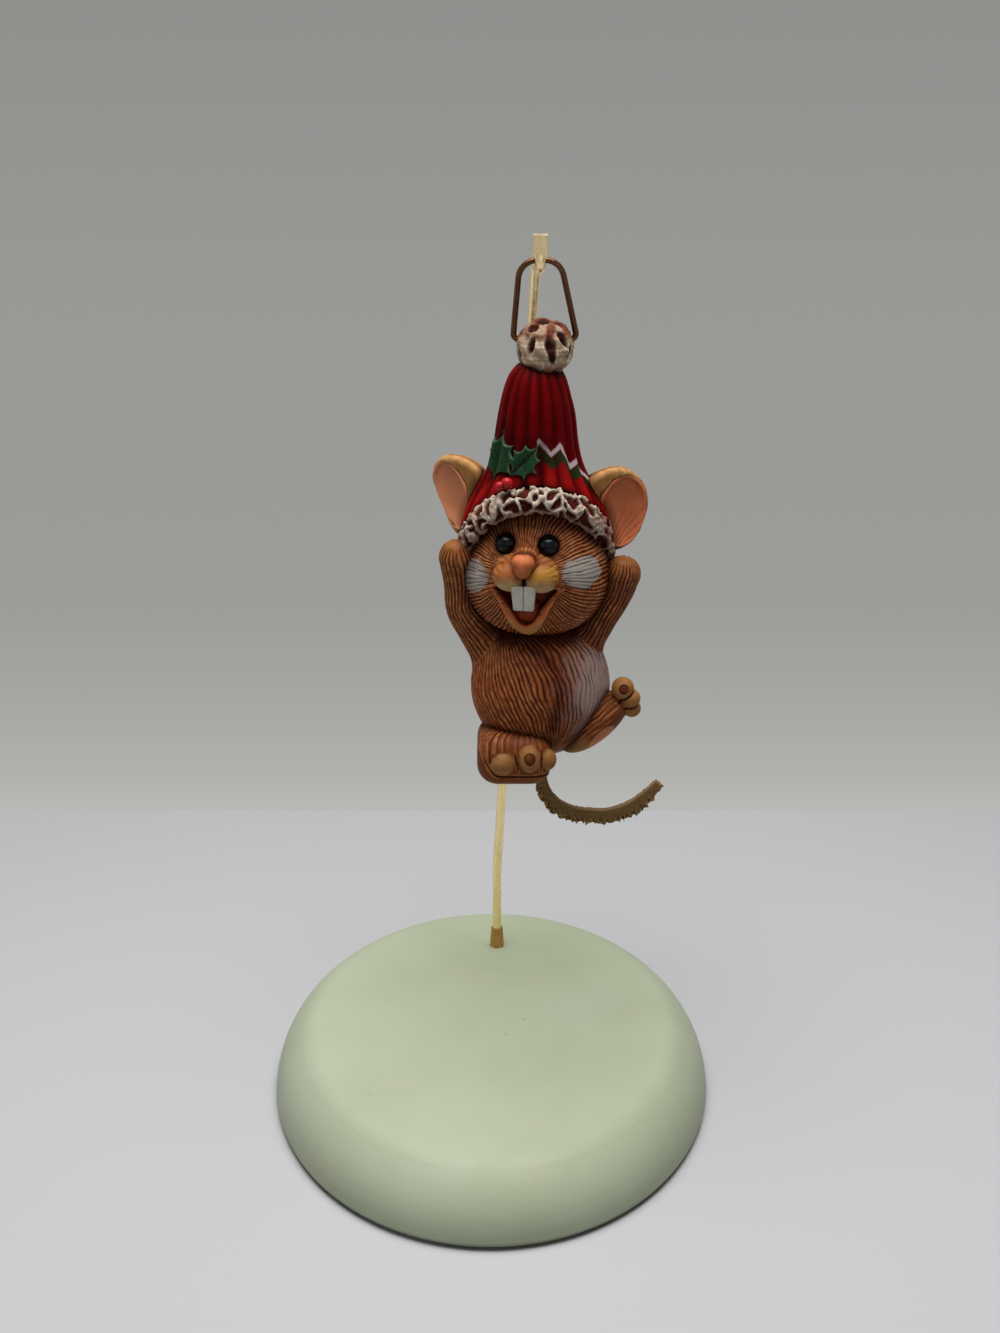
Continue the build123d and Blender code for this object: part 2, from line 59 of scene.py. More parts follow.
# Light from all round, as seen by dull paint and by gloss, and the room's planes. Tones are greys at places,
# painted light on the floor and on the glowing wall.
room = {
    "fill": 0.065, "gleam": 0.5, "air": (150, 151, 149), "floorReach": 900, "floorBack": 112, "bounce": 0.5,
    "floorTones": ((112, 188), (60, 191), (-60, 196), (-900, 202)), "floorBlue": 1.01, "floorShine": 0.2,
    "wallSize": (2400, 1400), "wallPlace": (0, 1500, -100), "wallBlue": 0.985,
    "wallTones": ((-627, 186), (-589, 178), (-505, 166), (-404, 156), (-120, 153), (136, 144), (700, 138)),
}


def toLinear(colour, shade=1.0):
    # paint colours are written as they look on screen
    shares = [channel * shade / 255 for channel in colour]
    linear = [share / 12.92 if share <= 0.04045 else ((share + 0.055) / 1.055) ** 2.4 for share in shares]
    return (*linear, 1.0)


def makeActive(piece):
    bpy.ops.object.select_all(action="DESELECT")
    piece.select_set(True)
    bpy.context.view_layer.objects.active = piece


def applyPlace(piece):
    makeActive(piece)
    bpy.ops.object.transform_apply(location=True, rotation=True, scale=True)


bpy.ops.object.select_all(action="DESELECT")
bpy.ops.object.camera_add(
    location=Vector(view["place"]) * mm, rotation=(math.radians(90 - view["pitch"]), 0, 0)
)
camera = bpy.context.active_object
camera.data.sensor_width = view["sensor"]
camera.data.lens = view["sensor"] * view["focalPixels"] / view["pictureHeight"]
bpy.context.scene.camera = camera
bpy.context.scene.view_settings.view_transform = "Standard"

for lampName, lamp in lamps.items():
    place = Vector(lamp["place"]) * mm
    way = Vector(lamp["aim"]) * mm - place
    bpy.ops.object.light_add(type="AREA", location=place, rotation=way.to_track_quat("-Z", "Y").to_euler())
    light = bpy.context.active_object
    light.name = lampName
    light.data.shape = "DISK"
    light.data.size = lamp["size"] * mm
    light.data.energy = lamp["watts"]


# Node helpers: each one adds a node and hands back the socket to carry on from
def addNode(tree, kind, **settings):
    made = tree.nodes.new(kind)
    for key, value in settings.items():
        setattr(made, key, value)
    return made


def feed(tree, socket, source):
    # a source is another node's socket or a plain value
    if isinstance(source, bpy.types.NodeSocket):
        tree.links.new(source, socket)
    else:
        socket.default_value = source


def grain(tree, size, detail=2.0, stretch=(1, 1, 1), roughness=0.5):
    # noise whose lumps are about this many millimetres across
    place = addNode(tree, "ShaderNodeTexCoord")
    mapping = addNode(tree, "ShaderNodeMapping")
    mapping.inputs["Scale"].default_value = [1 / (size * mm * share) for share in stretch]
    noiseNode = addNode(tree, "ShaderNodeTexNoise")
    noiseNode.inputs["Scale"].default_value = 1.0
    noiseNode.inputs["Detail"].default_value = detail
    noiseNode.inputs["Roughness"].default_value = roughness
    tree.links.new(place.outputs["Object"], mapping.inputs["Vector"])
    tree.links.new(mapping.outputs["Vector"], noiseNode.inputs["Vector"])
    return noiseNode.outputs["Fac"]


def ramp(tree, source, *stops):
    # stops are (place, colour or grey)
    made = addNode(tree, "ShaderNodeValToRGB")
    points = made.color_ramp.elements
    while len(points) < len(stops):
        points.new(0.5)
    for point, (place, colour) in zip(points, stops):
        point.position = place
        point.color = colour if isinstance(colour, tuple) else (colour, colour, colour, 1)
    tree.links.new(source, made.inputs["Fac"])
    return made.outputs["Color"]


def mixed(tree, share, under, over, kind="MIX"):
    made = addNode(tree, "ShaderNodeMix", data_type="RGBA", blend_type=kind)
    feed(tree, made.inputs["Factor"], share)
    feed(tree, made.inputs[6], under)
    feed(tree, made.inputs[7], over)
    return made.outputs[2]


def product(tree, first, second):
    made = addNode(tree, "ShaderNodeMath", operation="MULTIPLY")
    feed(tree, made.inputs[0], first)
    feed(tree, made.inputs[1], second)
    return made.outputs[0]


def carved(tree, name):
    # a value that the modelling code stored on the piece
    return addNode(tree, "ShaderNodeAttribute", attribute_name=name).outputs["Fac"]


def bump(tree, shader, height, depth, strength=1.0):
    made = addNode(tree, "ShaderNodeBump")
    made.inputs["Strength"].default_value = strength
    made.inputs["Distance"].default_value = depth * mm
    tree.links.new(height, made.inputs["Height"])
    tree.links.new(made.outputs["Normal"], shader.inputs["Normal"])


def newFinish(name, roughness, coat=0.0, metal=0.0, shine=0.1):
    finish = bpy.data.materials.new(name)
    finish.use_nodes = True
    tree = finish.node_tree
    shader = tree.nodes["Principled BSDF"]
    looks = {
        "Roughness": roughness, "Coat Weight": coat, "Coat Roughness": 0.25, "Metallic": metal,
        "Specular IOR Level": 0.5 if metal else shine,
    }
    for socket, value in looks.items():
        shader.inputs[socket].default_value = value
    return finish, tree, shader


def variedGloss(tree, shader, size, low, high):
    tree.links.new(ramp(tree, grain(tree, size), (0.3, low), (0.7, high)), shader.inputs["Roughness"])


# Painted and washed finishes: middle tone, dry-brushed crests that also stand in for painted highlight, paint
# patches, then dark wash in the grooves together with painted shade in hollows and where parts meet
washed = {
    "mottle": 2.6, "mottleShade": 0.8, "patchShade": 0.82, "brush": 1.1, "brushLeast": 0.2, "gloss": 0.9,
    "glossSpread": (-0.07, 0.1), "tooth": 0.22, "toothDepth": 0.018, "toothStrength": 0.6,
}
plain = {"gloss": 0.6, "glossSpread": (-0.05, 0.08), "tooth": 0.25, "toothDepth": 0.012, "toothStrength": 0.5}


def washAndShadeFinish(name, middle, crest, dark, patches, roughness=0.45, mottle=0.35, shine=0.1):
    finish, tree, shader = newFinish(name, roughness, shine=shine)
    cloudy = ramp(tree, grain(tree, washed["mottle"], 3.0), (0.35, 0.0), (0.68, 1.0))
    shade = product(tree, cloudy, mottle)
    brushed = ramp(tree, grain(tree, washed["brush"], 3.0), (0.36, washed["brushLeast"]), (0.66, 1.0))
    colour = mixed(tree, shade, toLinear(middle), toLinear(middle, washed["mottleShade"]))
    colour = mixed(tree, product(tree, carved(tree, "crest"), brushed), colour, toLinear(crest))
    for patchName, patch in patches.items():
        patchTone = mixed(tree, shade, toLinear(patch), toLinear(patch, washed["patchShade"]))
        colour = mixed(tree, carved(tree, patchName), colour, patchTone)
    colour = mixed(tree, carved(tree, "washAndShade"), colour, toLinear(dark))
    tree.links.new(colour, shader.inputs["Base Color"])
    variedGloss(tree, shader, washed["gloss"], *(roughness + more for more in washed["glossSpread"]))
    tooth = grain(tree, washed["tooth"], 4.0, roughness=0.6)
    bump(tree, shader, tooth, washed["toothDepth"], washed["toothStrength"])
    return finish


def plainPaint(name, light, deep, roughness, size, coat=0.0, washAndShade=None):
    finish, tree, shader = newFinish(name, roughness, coat)
    cloudy = ramp(tree, grain(tree, size, 3.0), (0.35, 0.0), (0.65, 1.0))
    colour = mixed(tree, cloudy, toLinear(light), toLinear(deep))
    # darker where the piece stores its wash and painted shade
    if washAndShade:
        colour = mixed(tree, carved(tree, "washAndShade"), colour, toLinear(washAndShade))
    tree.links.new(colour, shader.inputs["Base Color"])
    variedGloss(tree, shader, plain["gloss"], *(roughness + more for more in plain["glossSpread"]))
    bump(tree, shader, grain(tree, plain["tooth"], 3.0), plain["toothDepth"], plain["toothStrength"])
    return finish


# Modelling helpers
def readPoints(piece):
    # places and normals of a piece's points, in millimetres
    count = len(piece.data.vertices)
    places = np.empty(count * 3)
    piece.data.vertices.foreach_get("co", places)
    normals = np.empty(count * 3)
    piece.data.vertex_normals.foreach_get("vector", normals)
    return places.reshape(-1, 3) / mm, normals.reshape(-1, 3)


def writePoints(piece, places):
    piece.data.vertices.foreach_set("co", (places * mm).ravel())
    piece.data.update()


def store(piece, name, values):
    held = piece.data.attributes.get(name) or piece.data.attributes.new(name, "FLOAT", "POINT")
    held.data.foreach_set("value", np.clip(values, 0, 1).astype(np.float32))


def fade(values, start, end):
    # 0 at start, 1 at end, with soft shoulders
    share = np.clip((values - start) / (end - start), 0, 1)
    return share * share * (3 - 2 * share)


def bell(values, width):
    # 1 where the value is nought, falling off either way
    return np.exp(-(values / width) ** 2)


def ripple(places, size, seed, waves=9, spread=(0.7, 1.4)):
    # soft random field, mostly between -1 and 1, with lumps of this size
    source = np.random.default_rng(seed)
    total = np.zeros(len(places))
    for _ in range(waves):
        way = source.normal(size=places.shape[1])
        way *= fullTurn / (size * 2 * np.linalg.norm(way)) * source.uniform(*spread)
        total += np.cos(places @ way + source.uniform(0, fullTurn))
    return total / math.sqrt(waves)


def averaged(piece, values, rounds):
    # values blurred over neighbouring points
    edges = np.empty(len(piece.data.edges) * 2, dtype=np.int64)
    piece.data.edges.foreach_get("vertices", edges)
    first, second = edges.reshape(-1, 2).T
    count = len(piece.data.vertices)
    links = np.maximum(np.bincount(first, minlength=count) + np.bincount(second, minlength=count), 1)
    blurred = values.astype(float).reshape(count, -1).copy()
    for _ in range(rounds):
        for column in range(blurred.shape[1]):
            held = blurred[:, column]
            total = np.bincount(first, held[second], count) + np.bincount(second, held[first], count)
            blurred[:, column] = 0.5 * held + 0.5 * total / links
    return blurred


def hollowDepth(piece, rounds):
    # how far each point lies under its smoothed surroundings: positive in hollows
    places, normals = readPoints(piece)
    return ((averaged(piece, places, rounds) - places) * normals).sum(1)


def addBall(name, centre, size, turn=(0, 0, 0)):
    bpy.ops.object.select_all(action="DESELECT")
    bpy.ops.mesh.primitive_uv_sphere_add(
        segments=48, ring_count=32, radius=0.5, location=Vector(centre) * mm,
        rotation=[math.radians(angle) for angle in turn],
    )
    ball = bpy.context.active_object
    ball.name = name
    ball.scale = Vector(size) * mm
    applyPlace(ball)
    return ball


def bevelled(piece, rounding, segments):
    edge = piece.modifiers.new("edge", "BEVEL")
    edge.width = rounding * mm
    edge.segments = segments
    bpy.ops.object.modifier_apply(modifier=edge.name)


def pressTogether(name, parts):
    makeActive(parts[0])
    for part in parts:
        part.select_set(True)
    if len(parts) > 1:
        bpy.ops.object.join()
    parts[0].name = name
    return parts[0]


def clay(piece, voxel, rubs=0):
    # one skin of even small faces over everything in the piece, then rubbed smooth
    makeActive(piece)
    skin = piece.modifiers.new("skin", "REMESH")
    skin.mode = "VOXEL"
    skin.voxel_size = voxel * mm
    skin.use_smooth_shade = True
    bpy.ops.object.modifier_apply(modifier=skin.name)
    thumb = piece.modifiers.new("thumb", "SMOOTH")
    thumb.factor = 0.5
    thumb.iterations = rubs
    bpy.ops.object.modifier_apply(modifier=thumb.name)
    return piece


def turnOutwards(piece):
    makeActive(piece)
    bpy.ops.object.mode_set(mode="EDIT")
    bpy.ops.mesh.select_all(action="SELECT")
    bpy.ops.mesh.normals_make_consistent(inside=False)
    bpy.ops.object.mode_set(mode="OBJECT")


def copyOfNode(node, name, merge=0.002):
    copied = bpy.data.objects.new(name, nodes[node].data.copy())
    bpy.context.scene.collection.objects.link(copied)
    copied.data.materials.clear()
    makeActive(copied)
    bpy.ops.object.mode_set(mode="EDIT")
    bpy.ops.mesh.select_all(action="SELECT")
    bpy.ops.mesh.remove_doubles(threshold=merge * mm)
    bpy.ops.object.mode_set(mode="OBJECT")
    return copied


def surfaceOf(*pieces):
    corners, faces = [], []
    for piece in pieces:
        start = len(corners)
        corners += [tuple(vertex.co) for vertex in piece.data.vertices]
        faces += [[start + corner for corner in face.vertices] for face in piece.data.polygons]
    return BVHTree.FromPolygons(corners, faces)


def nearTo(places, reach, *neighbours):
    # 1 where a point touches a neighbour, falling to 0 at this reach
    surface = surfaceOf(*(nodes[name] if isinstance(name, str) else name for name in neighbours))
    away = np.full(len(places), reach, dtype=float)
    for row, place in enumerate(places):
        found = surface.find_nearest(Vector(place) * mm, reach * mm)
        if found[3] is not None:
            away[row] = found[3] / mm
    return 1 - away / reach


# Dark wash in the narrow grooves, which also stands in for their shade; painted shade in the broad hollows
# between forms; dry brush on the crests, which also stands in for their highlight. Rounds are of blurring,
# the rest are shares.
grooveShading = {
    "narrowRounds": 14, "wideRounds": 160, "narrowStart": 0.1, "wideStart": 0.2, "wideShade": 0.6,
    "crestStart": 0.05, "crestFull": 0.5,
}


def washShadeAndHighlight(piece, fine, broad=0.35, extra=0.0, lines=0.9):
    narrow = hollowDepth(piece, grooveShading["narrowRounds"])
    wide = hollowDepth(piece, grooveShading["wideRounds"])
    inLines = fade(narrow, fine * grooveShading["narrowStart"], fine) * lines
    inHollows = fade(wide, broad * grooveShading["wideStart"], broad) * grooveShading["wideShade"]
    store(piece, "washAndShade", inLines + inHollows + extra)
    store(piece, "crest", fade(-narrow, fine * grooveShading["crestStart"], fine * grooveShading["crestFull"]))


def dress(piece, finish, body, slot, *replaced):
    piece.data.materials.clear()
    piece.data.materials.append(finish)
    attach(piece, body)
    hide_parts(*replaced)
    print("made", piece.name, len(piece.data.polygons), "faces")


# Where the figure's parts are, and how the head and the body are dressed
head = {
    "centre": (7.2, 11.7, 86.8), "width": 24.7, "depth": 22.0, "rise": 15.8, "drop": 9.9, "turn": -10.0,
    "voxel": 0.15, "rubs": 3,
    "mouthShare": 0.975, "mouthSoft": 0.02, "mouthFront": -5, "mouthTop": 1.4,
    "swells": (((-9.3, -7.2, 1.7), 0.5), ((8.5, -8.2, 2.6), 0.4), ((-6.0, -8.6, -4.4), 0.25),
               ((7.0, -8.0, -4.0), 0.25)),
    "swellReach": 3.2, "sockets": ((-3.35, -9.6, 7.5), (3.35, -9.6, 7.5)), "socketReach": 2.1,
    "socketDepth": 0.25,
    "pole": (0.0, 3.4), "fineLines": 100, "foreheadThinning": 14.0, "grooveDepth": 0.24,
    "spacings": (0.16, 0.36),
    "patches": (((-9.3, -7.7, 1.8), 3.5, 2.8), ((8.9, -7.4, 3.1), 3.9, 2.5)), "patchEdge": (-1.1, -0.9),
    "patchThinning": 0.55, "brushMarks": 0.05, "ragged": 0.06, "seed": 11,
    "brimShade": 2.4, "armShade": 2.6, "eyeShade": 0.8,
    # painted shade beside the muzzle on the viewer's right: where it sits, how wide and how dark
    "muzzleSideShade": (6.3, 1.0), "muzzleSideShadeSize": (0.8, 2.4), "muzzleSideShadeShare": 0.45, "fine": 0.075,
    "paint": {
        "middle": (140, 68, 32), "crest": (210, 140, 88), "dark": (58, 17, 8),
        "patches": {"cheekPatch": (176, 166, 155), "mouth": (142, 50, 26)},
    },
}
torso = {
    "centre": (8.1, 11.7, 67.9), "width": 23.0, "depth": 20.6, "rise": 12.6, "drop": 12.0, "voxel": 0.16,
    "rubs": 4,
    "topPole": (-6.0, -1.0, 10.6), "bottomPole": (1.87, -6.18, -9.63), "spacing": 0.98, "grooveDepth": 0.34,
    "pinch": (0.12, 0.34), "seed": 21,
    "crease": ((-0.65, -7.77, 8.24), (1.35, -8.67, 6.64), (2.35, -9.1, 5.32), (2.95, -9.47, 3.75),
               (3.17, -9.8, 1.74), (2.79, -9.96, -0.95), (2.04, -9.38, -4.47)),
    "creaseWidth": 0.85, "creaseDepth": 0.4, "creaseShade": 0.3, "lobeShift": (-2.2, 0, 0), "lobeReach": 2.2,
    "lobeSwell": 0.2, "armReach": 1.8, "armSwell": 0.5,
    "paleWay": (0.86, -0.5, 0.12), "paleEdge": (0.62, 1.0), "paleRagged": 0.06, "paleSize": 2.5,
    "paleCover": 0.85,
    "chinShade": 3.0, "footShade": 1.4, "redReach": 2.4, "redShare": 0.6, "redCover": 0.8, "fine": 0.1,
    "paint": {
        "middle": (130, 62, 28), "crest": (196, 124, 74), "dark": (58, 16, 8),
        "patches": {"paleSide": (176, 156, 150), "redShade": (92, 28, 16)},
    },
}
headCentre, torsoCentre = np.array(head["centre"]), np.array(torso["centre"])
headTurn = np.array(Matrix.Rotation(math.radians(head["turn"]), 3, "Z"))


def onHead(place):
    return headCentre + headTurn @ np.array(place, float)


def headView(places):
    # across the face, back into it, and up
    return (places - headCentre) @ headTurn


def distanceToLine(points, start, end):
    way = end - start
    share = np.clip(((points - start) @ way) / (way @ way), 0, 1)
    return np.linalg.norm(points - start - share[:, None] * way, axis=1)


def distanceToPath(points, path):
    path = [np.array(corner, float) for corner in path]
    return np.min([distanceToLine(points, start, end) for start, end in zip(path, path[1:])], axis=0)


def depthInside(points, corners):
    # distance to a closed outline, positive inside it
    starts = np.array(corners, float)
    inside = np.zeros(len(points), dtype=bool)
    for start, end in zip(starts, np.roll(starts, -1, axis=0)):
        if start[1] != end[1]:
            crossing = start[0] + (end[0] - start[0]) * (points[:, 1] - start[1]) / (end[1] - start[1])
            inside ^= ((start[1] > points[:, 1]) != (end[1] > points[:, 1])) & (points[:, 0] < crossing)
    away = distanceToPath(points, [*starts, starts[0]])
    return np.where(inside, away, -away)


def smoothRoute(points, steps):
    # even steps along a rounded line through the points
    points = np.array(points, float)
    route = []
    for station in np.linspace(0, len(points) - 1, steps):
        here = min(int(station), len(points) - 2)
        share = station - here
        before, after = points[max(here - 1, 0)], points[min(here + 2, len(points) - 1)]
        start, end = points[here], points[here + 1]
        route.append(0.5 * (
            2 * start + (end - before) * share + (2 * before - 5 * start + 4 * end - after) * share ** 2
            + (3 * start - before - 3 * end + after) * share ** 3
        ))
    return np.array(route)


# Fur: combed grooves that wander, run together and fade in and out along their length.
# Each sway is the size of a wander and how far it turns the comb.
fur = {
    "sways": ((5.5, 1.1), (2.6, 1.3), (1.1, 0.5)), "strand": 3.2, "sides": 1.7, "leastDepth": 0.3,
    "deepSize": 1.0, "deepFade": (-1.3, 0.5), "fineSize": 0.8, "fineFade": (-0.4, 1.0), "fineShare": 0.45,
    "fineShift": 1.4, "fineSides": 1.5,
}


def combLines(angle, sides):
    return (0.5 + 0.5 * np.cos(angle)) ** sides


def furLines(phase, along, places, seed):
    for number, (size, turn) in enumerate(fur["sways"]):
        phase = phase + turn * ripple(places, size, seed + number)
    seed += len(fur["sways"])
    drawn = np.stack([phase / fullTurn, along / fur["strand"]], axis=1)
    deep = fade(ripple(drawn, fur["deepSize"], seed), *fur["deepFade"])
    fine = fade(ripple(drawn, fur["fineSize"], seed + 1), *fur["fineFade"])
    coarse = combLines(phase, fur["sides"]) * (fur["leastDepth"] + (1 - fur["leastDepth"]) * deep)
    return coarse + fur["fineShare"] * combLines(2 * phase + fur["fineShift"], fur["fineSides"]) * fine


# Head
headPiece = clay(copyOfNode("head", "headSkin"), head["voxel"], head["rubs"])
places, normals = readPoints(headPiece)
face = headView(places)
across, back, up = face.T
half = np.where(up > 0, head["rise"], head["drop"])
skinShare = np.linalg.norm([across / (head["width"] / 2), back / (head["depth"] / 2), up / half], axis=0)
inMouth = fade(head["mouthShare"] - skinShare, 0.0, head["mouthSoft"])
inMouth = inMouth * (back < head["mouthFront"]) * (up < head["mouthTop"])
cheek = sum(
    swell * bell(np.linalg.norm(face - spot, axis=1), head["swellReach"]) for spot, swell in head["swells"]
)
socket = sum(bell(np.linalg.norm(face - spot, axis=1), head["socketReach"]) for spot in head["sockets"])
places = places + normals * ((cheek - head["socketDepth"] * socket) * (1 - inMouth))[:, None]
around = np.arctan2(across - head["pole"][0], up - head["pole"][1])
radius = np.hypot(across - head["pole"][0], up - head["pole"][1])
lines = head["fineLines"] * around - head["foreheadThinning"] * np.sin(around)
spacing = fullTurn * radius / head["fineLines"]
ragged = head["brushMarks"] * np.cos(lines + ripple(face, 3.0, head["seed"]) * 2.7)
ragged = ragged + head["ragged"] * ripple(face, 1.0, head["seed"] + 3)
cheekPatch = np.zeros(len(places))
for spot, wide, high in head["patches"]:
    gap = face - np.array(spot)
    reach = np.hypot(np.hypot(gap[:, 0], gap[:, 1]) / wide, gap[:, 2] / high)
    cheekPatch = np.maximum(cheekPatch, fade(ragged - reach, *head["patchEdge"]))
strength = fade(spacing, *head["spacings"]) * (1 - head["patchThinning"] * cheekPatch) * (1 - inMouth)
groove = furLines(lines, radius, face, head["seed"]) * strength
writePoints(headPiece, places - normals * groove[:, None] * head["grooveDepth"])
store(headPiece, "cheekPatch", cheekPatch)
store(headPiece, "mouth", inMouth)
# painted shade round the eyes, under the brim, by the arms and torso, and beside the muzzle
eyeShade = 0.95 * nearTo(places, head["eyeShade"], "eye_left", "eye_right") ** 0.7
brimShade = 0.95 * nearTo(places, head["brimShade"], "hat_brim") ** 1.2
armShade = 0.7 * nearTo(places, head["armShade"], "arm_left", "arm_right", "torso")
muzzleSideShade = bell(across - head["muzzleSideShade"][0], head["muzzleSideShadeSize"][0])
muzzleSideShade = muzzleSideShade * bell(up - head["muzzleSideShade"][1], head["muzzleSideShadeSize"][1])
muzzleSideShade = head["muzzleSideShadeShare"] * muzzleSideShade * (back < 0)
washShadeAndHighlight(headPiece, head["fine"], extra=brimShade + armShade + eyeShade + muzzleSideShade)
dress(headPiece, washAndShadeFinish("headFur", **head["paint"]), "figurine", "fur_brown", "head")

# Torso: a ball whose lower half is drawn to its own length
torsoPiece = addBall("torsoSkin", torsoCentre, (torso["width"], torso["depth"], 2 * torso["rise"]))
for vertex in torsoPiece.data.vertices:
    vertex.select = vertex.co.z < (torsoCentre[2] - mm) * mm
makeActive(torsoPiece)
bpy.ops.object.mode_set(mode="EDIT")
bpy.ops.mesh.select_mode(type="VERT")
bpy.ops.transform.resize(
    value=(1, 1, torso["drop"] / torso["rise"]), center_override=Vector(torsoCentre) * mm
)
bpy.ops.object.mode_set(mode="OBJECT")
clay(torsoPiece, torso["voxel"], torso["rubs"])
places, normals = readPoints(torsoPiece)
body = places - torsoCentre
armSwell = torso["armSwell"] * nearTo(places, torso["armReach"], "arm_left", "arm_right") ** 2
# the comb's planes all hold the chord between two poles, so its lines sweep from one pole to the other
topPole, bottomPole = np.array(torso["topPole"]), np.array(torso["bottomPole"])
chord = (bottomPole - topPole) / np.linalg.norm(bottomPole - topPole)
middle = (topPole + bottomPole) / 2
outward = middle - chord * (middle @ chord)
offset = np.linalg.norm(outward)
outward = outward / offset
sideways = np.cross(chord, outward)
bodyRadius = torso["width"] / 2
fromChord = body - middle
tilt = np.arctan2(fromChord @ sideways, fromChord @ outward)
sweep = tilt - np.arcsin(np.clip(offset / bodyRadius * np.sin(tilt), -1, 1))
lineCount = round(fullTurn * bodyRadius / torso["spacing"])
chordGap = np.linalg.norm(fromChord - np.outer(fromChord @ chord, chord), axis=1)
equatorGap = np.sqrt(np.maximum(bodyRadius ** 2 - offset ** 2 * np.sin(tilt) ** 2, 0)) - offset * np.cos(tilt)
pinch = np.clip(chordGap / np.maximum(equatorGap, mm * mm), 0, 1)
facing = body / np.linalg.norm(body, axis=1)[:, None]
paleRagged = torso["paleRagged"] * ripple(body, torso["paleSize"], torso["seed"] + 3)
paleSide = fade(facing @ np.array(torso["paleWay"]) + paleRagged, *torso["paleEdge"])
strength = fade(pinch, *torso["pinch"]) * (1 - 0.5 * fade(paleSide, 0.5, 1.0))
groove = furLines(lineCount * sweep, fromChord @ chord, body, torso["seed"]) * strength
fromCrease = distanceToPath(body, torso["crease"])
crease = bell(fromCrease, torso["creaseWidth"])
lobePath = [np.add(spot, torso["lobeShift"]) for spot in torso["crease"]]
leftLobe = bell(distanceToPath(body, lobePath), torso["lobeReach"])
shaped = armSwell + torso["lobeSwell"] * leftLobe
shaped = shaped - torso["creaseDepth"] * crease - torso["grooveDepth"] * groove
places = places + normals * shaped[:, None]
writePoints(torsoPiece, places)
store(torsoPiece, "paleSide", paleSide * torso["paleCover"])
# painted shade under the chin, above the feet and along the crease
chinNear = nearTo(places, torso["chinShade"], "head", "lower_lip")
footNear = nearTo(places, torso["footShade"], "foot_left", "foot_right")
redCrease = torso["redShare"] * bell(fromCrease, torso["redReach"])
store(torsoPiece, "redShade", np.maximum(fade(chinNear, 0.0, 0.9) * torso["redCover"], redCrease))
extra = 0.75 * chinNear ** 1.6 + 0.8 * footNear ** 1.4 + torso["creaseShade"] * crease
washShadeAndHighlight(torsoPiece, torso["fine"], extra=extra)
dress(torsoPiece, washAndShadeFinish("torsoFur", **torso["paint"]), "figurine", "fur_brown", "torso")

# Arms: balls of clay pressed along the limb, combed lengthways, fingers marked at the paw
limb = {
    "radii": (3.39, 2.99, 2.70, 2.61, 3.0), "steps": 30, "voxel": 0.15, "rubs": 6, "lines": 26, "twist": 5,
    "grooveDepth": 0.27, "pawCap": (1.9, 2.7), "rootReach": 1.6, "rootSwell": 0.35,
    "fingers": (-0.75, 0.0, 0.75), "fingerWidth": 0.16, "fingerStart": (0.84, 0.97), "fingerDepth": 0.3,
    "shadeReach": 1.7, "pawPaint": (-1.0, 2.5), "pawCover": 0.7, "fine": 0.085, "dark": (54, 16, 8),
    "pawTop": (146, 88, 42),
}
arms = {
    "arm_left": {
        "length": 19.0, "seed": 31, "middle": (126, 62, 28), "crest": (196, 132, 80),
        "route": ((-8.2, 0, 5.7), (-10.58, -0.85, 9.78), (-12.7, -1.79, 13.78), (-13.13, -2.21, 18.2),
                  (-13.47, -2.89, 22.7)),
    },
    # the right arm's tones are darker than the left's: painted shade
    "arm_right": {
        "length": 17.0, "seed": 36, "middle": (108, 48, 24), "crest": (176, 114, 70),
        "route": ((5.8, 0, 5.2), (7.81, -0.85, 8.77), (9.88, -1.79, 12.51), (12.0, -2.21, 16.2),
                  (13.0, -2.55, 19.82)),
    },
}


def alongRoute(places, route):
    # nearest station of each place, as a share, the angle round the route there, and how far past its end
    gaps = np.linalg.norm(places[:, None, :] - route[None, :, :], axis=2)
    nearest = gaps.argmin(1)
    way = np.gradient(route, axis=0)
    way /= np.linalg.norm(way, axis=1)[:, None]
    side = np.cross(way, np.array([0, 1, 0]))
    side /= np.linalg.norm(side, axis=1)[:, None]
    front = np.cross(side, way)
    out = places - route[nearest]
    past = (out * way[nearest]).sum(1)
    station = nearest / (len(route) - 1)
    return station, np.arctan2((out * side[nearest]).sum(1), (out * front[nearest]).sum(1)), past


for armNode, arm in arms.items():
    route = smoothRoute(arm["route"], limb["steps"]) + torsoCentre
    radii = np.interp(np.linspace(0, 4, limb["steps"]), range(5), limb["radii"])
    balls = [addBall("armBall", spot, (2 * radius,) * 3) for spot, radius in zip(route, radii)]
    armPiece = clay(pressTogether(armNode + "Skin", balls), limb["voxel"], limb["rubs"])
    places, normals = readPoints(armPiece)
    station, angle, past = alongRoute(places, route)
    rootNear = nearTo(places, limb["rootReach"], "torso")
    strength = 1 - fade(past, *limb["pawCap"]) * (station > 0.95)
    lines = limb["lines"] * angle + limb["twist"] * station
    groove = furLines(lines, station * arm["length"], places, arm["seed"]) * strength
    fingers = sum(bell(angle - finger, limb["fingerWidth"]) for finger in limb["fingers"])
    fingers = fingers * fade(station, *limb["fingerStart"])
    shaped = limb["rootSwell"] * rootNear ** 2 - limb["grooveDepth"] * groove - limb["fingerDepth"] * fingers
    places = places + normals * shaped[:, None]
    writePoints(armPiece, places)
    # painted shade under the head, brim and ears, and in the finger grooves
    closeBy = nearTo(places, limb["shadeReach"], "head", "hat_brim", "ear_left", "ear_right")
    washShadeAndHighlight(armPiece, limb["fine"], extra=0.8 * closeBy ** 1.3 + 0.3 * fingers)
    pawStart, pawFull = (route[-1][2] + more for more in limb["pawPaint"])
    store(armPiece, "pawTop", fade(places[:, 2], pawStart, pawFull) * limb["pawCover"])
    patches = {"pawTop": limb["pawTop"]}
    armFinish = washAndShadeFinish(armNode + "Fur", arm["middle"], arm["crest"], limb["dark"], patches)
    dress(armPiece, armFinish, "figurine", "fur_brown", armNode)

